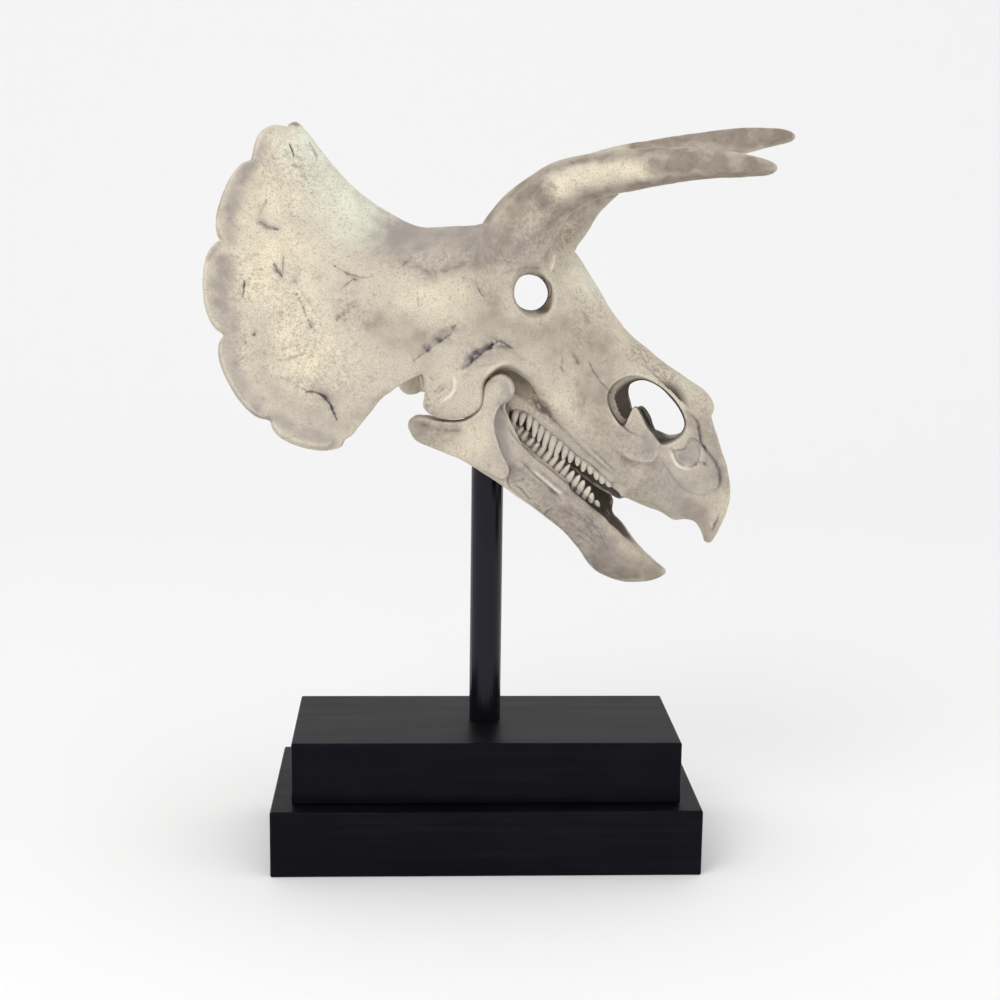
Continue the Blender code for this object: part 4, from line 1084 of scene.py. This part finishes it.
class Skin:
    """A skin's points with what is painted on them, while it is worked over."""

    def __init__(self, points, quads, stain):
        self.points, self.quads, self.stain = points, quads, stain
        ends = np.concatenate([quads[:, [k, (k + 1) % 4]] for k in range(4)])
        ends = np.concatenate([ends, ends[:, ::-1]])
        keys = np.unique(ends[:, 0].astype(np.int64) * len(points) + ends[:, 1])
        self.a, self.b = keys // len(points), keys % len(points)
        self.degree = np.bincount(self.a, minlength=len(points))[:, None]
        self.rough = np.zeros(len(points))
        self.shade = np.zeros(len(points))
        self.washes_and_shading = np.zeros((len(points), len(WASH_AND_SHADING_COLOURS)))
        self.refresh()

    def averaged(self, values):
        """Each point's mean over its neighbours."""
        sums = [np.bincount(self.a, values[self.b, k], len(values)) for k in range(values.shape[1])]
        return np.stack(sums, axis=1) / self.degree

    def refresh(self):
        p, q = self.points, self.quads
        across = np.cross(p[q[:, 2]] - p[q[:, 0]], p[q[:, 3]] - p[q[:, 1]])
        normal = np.zeros_like(p)
        for k in range(3):
            normal[:, k] = np.bincount(q.ravel(), np.repeat(across[:, k], 4), len(p))
        self.normal = normal / np.maximum(np.linalg.norm(normal, axis=1, keepdims=True), 1e-9)

    def relief(self, rounds):
        """How far each point lies below (+) or above (-) its surroundings."""
        smooth = self.points
        for _ in range(rounds):
            smooth = self.averaged(smooth)
        return np.einsum("ij,ij->i", smooth - self.points, self.normal)

    def push(self, amount):
        self.points = self.points + self.normal * amount[:, None]
        self.refresh()

    def camera_view(self):
        """Where the camera sees each point, or its twin on the near side, and how squarely."""
        far = (self.points[:, 1] > 0) & (facing_camera(self.points, self.normal) < 0)
        mirror = np.ones_like(self.points)
        mirror[far, 1] = -1
        facing = facing_camera(self.points * mirror, self.normal * mirror)
        return shown_at(self.points * mirror), np.clip(facing / 0.25, 0, 1)

    def shade_insides(self, hollows):
        """Paints shade on the walls of the hollows and the inner sides of the mouth."""
        for centre, half, strength, way in hollows:
            out = np.linalg.norm((self.points - centre) / np.array(half), axis=1)
            wall = np.clip((0.8 - abs(self.normal[:, 1])) / 0.3, 0, 1)
            if any(way):
                wall *= np.clip((self.normal @ np.array(way) - 0.1) / 0.4, 0, 1)
            else:
                wall = np.maximum(wall, abs(self.points[:, 1]) < 18)
            self.shade = np.maximum(self.shade, strength * wall * np.clip((1.0 - out) / 0.12, 0, 1))
        # Painted shade on the inner faces of the jaw and mouth, low down.
        inner = -self.normal[:, 1] * np.sign(self.points[:, 1])
        low = np.clip((-50 - self.points[:, 2]) / 20, 0, 1)
        low *= np.clip(4 - abs(self.points[:, 1]) / 15, 0, 1)
        self.shade = np.maximum(self.shade, 0.92 * low * np.clip((inner - 0.1) / 0.35, 0, 1))


class Weathering:
    """Works a skin over where the camera sees it, and its twin on the far side, with ragged edges."""

    def __init__(self, skin, seed):
        self.skin = skin
        self.seed = seed
        lumps, ragged = Speckle(seed), Speckle(seed + 1)
        far_side = np.where(skin.points[:, 1] > 0, 400.0, 0.0)[:, None]
        place = skin.points + far_side
        skin.push(0.5 * lumps.layered(place, 34, 3) + 0.18 * ragged.layered(place, 7, 2))
        self.at, self.facing = skin.camera_view()
        self.warp = np.stack([ragged(place, 7), lumps(place, 7)], axis=1)
        self.fine = np.stack([ragged(place + 50, 3), lumps(place + 50, 3)], axis=1)
        self.grit = 0.6 * ragged(place, 1.9) + 0.6 * lumps(place, 3.4)
        self.broken = np.clip(0.5 + lumps.layered(place + 90, 12, 3), 0, 1)
        self.spots = ragged.layered(place + 30, 4, 2)
        self.depth = np.zeros(len(place))

    def band(self, line, width, bend):
        """The points around a line, and how strongly it reaches each of them."""
        pick = near(self.at, line, 2.5 * width)
        bent = self.at[pick] + bend * width * self.warp[pick]
        amount = np.exp(-((distance_to_line(bent, line)[0] / width) ** 2)) * self.facing[pick]
        return pick, amount

    def paint_shade_behind_teeth(self):
        # Paints shade on what lies deep in the gap behind the teeth.
        outline, ends, limits = SHADE_BEHIND_TEETH
        pick, _ = inside(self.at, outline)
        deep = abs(self.skin.points[pick, 1]) < np.interp(self.at[pick, 0], ends, limits)
        self.skin.shade[pick] = np.maximum(self.skin.shade[pick], deep * self.facing[pick])

    def lay_steps(self, steps):
        for deep, edge, fade, outline in steps:
            pick, reach = inside(self.at + 0.5 * self.warp, outline)
            step = np.clip(reach / edge, 0, 1)
            step = deep * step * step * (3 - 2 * step) * np.exp(-reach / fade)
            self.depth[pick] += step * self.facing[pick]

    def roughen(self, patches):
        for width, high, dark, line in patches:
            pick, amount = self.band(line, width, 0.35)
            self.depth[pick] -= 1.6 * high * self.grit[pick] * amount
            self.skin.rough[pick] = np.maximum(self.skin.rough[pick], dark * amount)

    def scar(self, scars):
        """Each scar is a tapered core in a spotty smear."""
        for width, deep, dark, line in scars:
            pick = near(self.at, line, 4 * width + 4)
            bent = self.at[pick] + min(1, width / 2) * 1.1 * self.warp[pick] + 0.7 * self.fine[pick]
            away, along = distance_to_line(bent, line)
            away = away / width
            taper = 0.35 + 0.65 * np.clip(5 * along * (1 - along), 0, 1)
            core = np.exp(-((away / (0.6 * taper)) ** 2)) * (0.55 + 0.75 * self.broken[pick])
            smear = 0.42 * np.exp(-((away / 1.35) ** 2)) * np.clip(0.5 + 1.1 * self.spots[pick], 0, 1)
            # A ridge gets no dark core; its negative darkness becomes a painted highlight.
            if deep < 0:
                core, smear = np.exp(-(away**2)), 0
            self.depth[pick] += deep * (core + smear) * self.facing[pick]
            self.skin.stain[pick] += dark * (0.85 * core + smear) * self.facing[pick]

    def groove(self, grooves):
        for width, deep, dark, line in grooves:
            pick = near(self.at, line, 4 * width + 2)
            away, along = distance_to_line(self.at[pick] + 0.25 * self.fine[pick], between(line, 4))
            amount = np.exp(-((away / width) ** 2)) * np.clip(6 * along * (1 - along) + 0.2, 0, 1)
            amount = amount * self.facing[pick]
            self.depth[pick] += deep * amount
            # Painted shade in a groove; a ridge's darkness below 0 is a painted highlight.
            self.skin.stain[pick] += dark * amount * (0.75 + 0.5 * self.broken[pick])

    def scratch(self, count=150, deep=0.18):
        """Fine scratches all over."""
        rng = np.random.default_rng(self.seed + 9)
        for _ in range(count):
            x, y, way, length = rng.uniform(*SCRATCH_RANGE)
            step = np.array([math.cos(way), math.sin(way)]) * length / 2
            middle = np.array([x, y])
            bend = rng.uniform(-2, 2, 2)
            width, dark = rng.uniform(0.6, 0.9), rng.uniform(0.15, 0.5)
            line = [middle - step, middle + bend, middle + step]
            pick = near(self.at, line, 4)
            away, _ = distance_to_line(self.at[pick] + 1.5 * self.warp[pick], line)
            amount = np.exp(-((away / width) ** 2)) * self.facing[pick]
            self.depth[pick] += deep * amount
            self.skin.stain[pick] += dark * amount * np.clip(0.6 + self.spots[pick], 0, 1)

    def wash_and_shade(self, washes_and_shading):
        # Lays the paint layers, with their painted light and shade.
        for colour, width, strength, line in washes_and_shading:
            pick, amount = self.band(line, width, 0.3)
            amount = amount * (0.6 + 0.55 * self.broken[pick])
            layer = self.skin.washes_and_shading[:, WASH_AND_SHADING_COLOURS.index(colour)]
            layer[pick] = np.maximum(layer[pick], strength * amount)


def weather(skin, marks, seed):
    """Swells a skin, cuts its marks, lays its paint layers with their painted light and shade, and paints
    shade into its hollows and behind its teeth.
    """
    skin.shade_insides(marks.hollows)
    work = Weathering(skin, seed)
    work.paint_shade_behind_teeth()
    work.lay_steps(marks.steps)
    work.roughen(marks.rough)
    work.scar(marks.scars)
    work.groove(marks.grooves)
    work.scratch()
    skin.push(-work.depth)
    work.wash_and_shade(WASHES_AND_SHADING)


class Wire:
    """A socket's value inside a material. Sums of wires and numbers add Math nodes."""

    def __init__(self, finish, socket):
        self.finish, self.socket = finish, socket

    def math(self, operation, a, b, clamp=False):
        settings = {"operation": operation, "use_clamp": clamp}
        return self.finish.node("Math", settings, {0: a, 1: b})

    def __add__(self, other):
        return self.math("ADD", self, other)

    def __sub__(self, other):
        return self.math("SUBTRACT", self, other)

    def __rsub__(self, other):
        return self.math("SUBTRACT", other, self)

    def __mul__(self, other):
        return self.math("MULTIPLY", self, other)

    __radd__ = __add__
    __rmul__ = __mul__

    def clamped(self):
        return self.math("ADD", self, 0.0, clamp=True)

    def between(self, low, high):
        """0 below low, 1 above high, and smooth in between."""
        settings = {"interpolation_type": "SMOOTHSTEP"}
        return self.finish.node("MapRange", settings, {"Value": self, "From Min": low, "From Max": high})


class Finish:
    """A material, built by calls that each add one node."""

    def __init__(self, name):
        self.material = bpy.data.materials.new(name)
        self.material.use_nodes = True
        self.tree = self.material.node_tree
        self.shader = self.tree.nodes["Principled BSDF"]

    @functools.cached_property
    def place(self):
        return self.node("TexCoord", {}, {}, "Object")

    def plug(self, socket, value):
        if isinstance(value, Wire):
            self.tree.links.new(value.socket, socket)
        elif isinstance(value, tuple) and socket.type == "RGBA":
            socket.default_value = (*value, 1.0)
        else:
            socket.default_value = value

    def node(self, kind, settings, sockets, out=0):
        """Adds a node: first its settings, then the values or wires of its sockets."""
        node = self.tree.nodes.new("ShaderNode" + kind)
        for name, value in settings.items():
            setattr(node, name, value)
        for name, value in sockets.items():
            self.plug(node.inputs[name], value)
        return Wire(self, node.outputs[out])

    def painted(self, name):
        return self.node("Attribute", {"attribute_name": name}, {}, "Fac")

    def mix(self, under, over, amount):
        return self.node("Mix", {"data_type": "RGBA"}, {0: amount, 6: under, 7: over}, 2)

    def noise(self, scale, detail, rough, place=None):
        sockets = {"Scale": scale, "Detail": detail, "Roughness": rough}
        return self.node("TexNoise", {}, {"Vector": place or self.place, **sockets})

    def bump(self, height, metres):
        return self.node("Bump", {}, {"Height": height, "Distance": metres, "Strength": 1.0})

    def set(self, sockets):
        for name, value in sockets.items():
            self.plug(self.shader.inputs[name], value)


def bone_finish():
    bone = Finish("aged_bone")
    names = ("stain", "dirt", "worn", "rough", "shade", *WASH_AND_SHADING_COLOURS)
    stain, dirt, worn, rough, shade, cream, green, brown, violet = map(bone.painted, names)
    cloud = bone.noise(18, 5, 0.6)
    patch = bone.noise(70, 4, 0.6)
    mottle = bone.noise(260, 4, 0.7)
    speck = bone.noise(750, 2, 0.7)
    grain = bone.noise(1500, 1, 0.5)
    dark_marks_and_shade = stain * (0.5 + mottle * 0.9)
    # The pale yellow layer: the bone's tone, and a painted highlight on lit tops.
    colour = bone.mix((0.585, 0.52, 0.42), (0.84, 0.745, 0.56), (cream + (cloud - 0.5) * 1.4).clamped())
    for paint, amount in (
        ((0.86, 0.79, 0.65), grain.between(0.5, 0.7) * 0.5),
        # A greenish painted highlight, nearly white.
        ((0.76, 0.78, 0.64), green),
        # Brownish grey: the paint's tone, and painted shade under edges and on undersides.
        ((0.24, 0.195, 0.155), (brown * (0.3 + patch * 0.9)).clamped()),
        # Purplish grey: the paint's marks, and painted shade inside the scallops' rims and under the face.
        ((0.33, 0.29, 0.275), (violet * (0.35 + patch * 0.7)).clamped()),
        ((0.34, 0.29, 0.24), mottle.between(0.5, 0.74) * patch.between(0.4, 0.62) * 0.75),
        ((0.33, 0.285, 0.25), speck.between(0.52, 0.66) * (0.6 + rough * 0.3)),
        ((0.3, 0.25, 0.205), (rough * mottle.between(0.44, 0.56)).clamped() * 0.75),
        # Painted shade and grime in recesses and creases.
        ((0.13, 0.1, 0.085), dirt),
        # Painted shade inside the nostril, eye sockets and mouth, and behind the teeth.
        ((0.075, 0.056, 0.045), shade),
        # Painted highlight and wear on edges, ridges and tooth tips.
        ((0.84, 0.78, 0.66), worn),
        # Scars and scratches, and painted shade in the grooves and between the teeth.
        ((0.155, 0.135, 0.135), dark_marks_and_shade.clamped()),
        ((0.035, 0.028, 0.028), dark_marks_and_shade.between(0.9, 1.25)),
    ):
        colour = bone.mix(colour, paint, amount)
    height = speck * (0.4 + rough * 0.5) + mottle * (0.6 + rough * 0.6)
    bone.set({
        "Base Color": colour,
        "Roughness": 0.62,
        "Specular IOR Level": 0.3,
        "Normal": bone.bump(height, 0.0008),
    })
    return bone.material


def black_finish(name, stroke, roughness, shine):
    """Black paint; the stroke says how fast its streaks change along each axis."""
    paint = Finish(name)
    stretched = paint.node("Mapping", {}, {"Vector": paint.place, "Scale": stroke})
    streaks = paint.noise(1.0, 5, 0.65, stretched)
    cloud = paint.noise(14, 3, 0.5)
    speck = paint.noise(700, 2, 0.6)
    pale = (streaks.between(0.42, 0.72) * 0.7 + cloud.between(0.45, 0.7) * 0.3).clamped()
    colour = paint.mix((0.0022, 0.002, 0.003), (0.006, 0.0055, 0.008), pale)
    colour = paint.mix(colour, (0.03, 0.028, 0.032), speck.between(0.7, 0.78) * 0.35)
    paint.set({
        "Base Color": colour,
        "Roughness": roughness + streaks * 0.18,
        "Specular IOR Level": shine,
        "Specular Tint": (0.82, 0.8, 1.0),
        "Normal": paint.bump(streaks * 0.7 + speck * 0.3, 0.0002),
    })
    return paint.material


def add_object(name, data):
    thing = bpy.data.objects.new(name, data)
    bpy.context.scene.collection.objects.link(thing)
    return thing


def skin_object(name, points, quads):
    mesh = bpy.data.meshes.new(name)
    mesh.vertices.add(len(points))
    mesh.loops.add(quads.size)
    mesh.polygons.add(len(quads))
    mesh.vertices.foreach_set("co", to_world(points).astype(np.float32).ravel())
    mesh.loops.foreach_set("vertex_index", quads.astype(np.int32).ravel())
    mesh.polygons.foreach_set("loop_start", np.arange(0, quads.size, 4, dtype=np.int32))
    mesh.update(calc_edges=True)
    mesh.shade_smooth()
    return add_object(name, mesh)


def paint_onto(thing, skin):
    """Writes what is painted on the skin as point attributes, with painted shade and grime in its hollows
    and painted highlight and wear on its edges.
    """
    close, wide = skin.relief(3), skin.relief(40)
    layers = {
        "stain": skin.stain,
        # Painted shade and grime in hollows and creases, darker the deeper a point lies below its
        # surroundings.
        "dirt": np.clip(wide / 4.2 - 0.12, 0, 0.8) + np.clip(close / 0.4 - 0.25, 0, 0.5),
        # Painted highlight and wear on edges, lighter the further a point stands out.
        "worn": np.clip(-wide / 8 - 0.3, 0, 0.15) + np.clip(-close / 0.35 - 0.4, 0, 0.3),
        "rough": skin.rough,
        "shade": skin.shade,
    }
    # Negative darkness, on ridges and tooth tips, becomes painted highlight.
    layers["worn"] += np.clip(-skin.stain, 0, 0.8)
    layers.update(zip(WASH_AND_SHADING_COLOURS, skin.washes_and_shading.T))
    for name, values in layers.items():
        layer = thing.data.attributes.new(name, "FLOAT", "POINT")
        layer.data.foreach_set("value", np.clip(values, 0, 1.2).astype(np.float32))


def cast(name, sculpt, teeth, marks, bone, nodes):
    """Sculpts a skin, sets both rows of teeth in it, weathers it and puts it in place of its nodes."""
    points, quads = sculpt()
    points, quads = largest_body(points, outward(points, quads))
    stain = [np.zeros(len(points))]
    for mirror in (1, -1):
        pegs, sides, dark = tooth_row(teeth)
        sides = outward(pegs - pegs.mean(axis=0), sides)
        quads = np.concatenate([quads, (sides + len(points))[:, ::mirror]])
        points = np.concatenate([points, pegs * (1, mirror, 1)])
        stain.append(dark)
    skin = Skin(points, quads, 0.6 * np.concatenate(stain))
    weather(skin, marks, 3)
    thing = skin_object(name, skin.points, skin.quads)
    paint_onto(thing, skin)
    thing.data.materials.append(bone)
    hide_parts(*nodes)
    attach(thing, "root")


def paint_stand(nodes):
    board = black_finish("rolled_black_paint", (6, 60, 160), 0.34, 0.1)
    tube_paint = black_finish("black_satin_tube", (120, 120, 8), 0.12, 0.3)
    for name, thing in nodes.items():
        if name.startswith("stand_"):
            thing.data.materials.clear()
            thing.data.materials.append(tube_paint if name == "stand_rod" else board)


def pale_sweep(half_width=6.0, bend=1.5, front=-6.0, back=1.6, top=5.0, turns=12):
    """A floor that runs flat under the stand, then bends up into a backdrop."""
    profile = [(front, 0.0), (back, 0.0)]
    for k in range(1, turns + 1):
        angle = math.pi / 2 * k / turns
        profile.append((back + bend * math.sin(angle), bend - bend * math.cos(angle)))
    profile.append((back + bend, top))
    corners = [(x, y, z) for y, z in profile for x in (-half_width, half_width)]
    strips = [(2 * k, 2 * k + 1, 2 * k + 3, 2 * k + 2) for k in range(len(profile) - 1)]
    mesh = bpy.data.meshes.new("floor")
    mesh.from_pydata(corners, [], strips)
    mesh.shade_smooth()
    pale = Finish("pale_floor")
    pale.set({"Base Color": (0.93, 0.93, 0.93), "Roughness": 0.9, "Specular IOR Level": 0.1})
    mesh.materials.append(pale.material)
    add_object("floor", mesh)


def softbox(name, place, watts, size):
    lamp = bpy.data.lights.new(name, "AREA")
    lamp.energy = watts
    lamp.size = size
    box = add_object(name, lamp)
    box.location = place
    box.rotation_euler = (Vector((0, 0, 0.4)) - Vector(place)).to_track_quat("-Z", "Y").to_euler()


def light_studio():
    world = bpy.data.worlds.new("studio")
    world.use_nodes = True
    background = world.node_tree.nodes["Background"]
    background.inputs["Color"].default_value = (1, 1, 1, 1)
    background.inputs["Strength"].default_value = 0.92
    bpy.context.scene.world = world
    bpy.context.scene.view_settings.view_transform = "Standard"
    softbox("key", (-1.2, -1.6, 2.2), 16, 1.2)
    softbox("fill", (1.8, -1.6, 1.2), 3, 1.6)


def place_camera():
    camera = bpy.data.cameras.new("camera")
    camera.lens = CAMERA_LENS
    camera.sensor_width = SENSOR
    camera.clip_end = 50
    eye = add_object("camera", camera)
    behind = [-x for x in CAMERA_AHEAD]
    columns = Matrix((CAMERA_RIGHT, CAMERA_UP, behind)).transposed().to_4x4()
    columns.translation = CAMERA_PLACE
    eye.matrix_world = columns
    bpy.context.scene.camera = eye


def main():
    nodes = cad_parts
    bone = bone_finish()
    paint_stand(nodes)
    lower = [n for n in nodes if n.startswith("lower_")]
    upper = [n for n in nodes if n not in lower and not n.startswith("stand_")]
    cast("skull", sculpt_skull, UPPER_TEETH, SKULL_MARKS, bone, upper)
    cast("jaw", sculpt_jaw, LOWER_TEETH, JAW_MARKS, bone, lower)
    pale_sweep()
    light_studio()
    place_camera()


main()
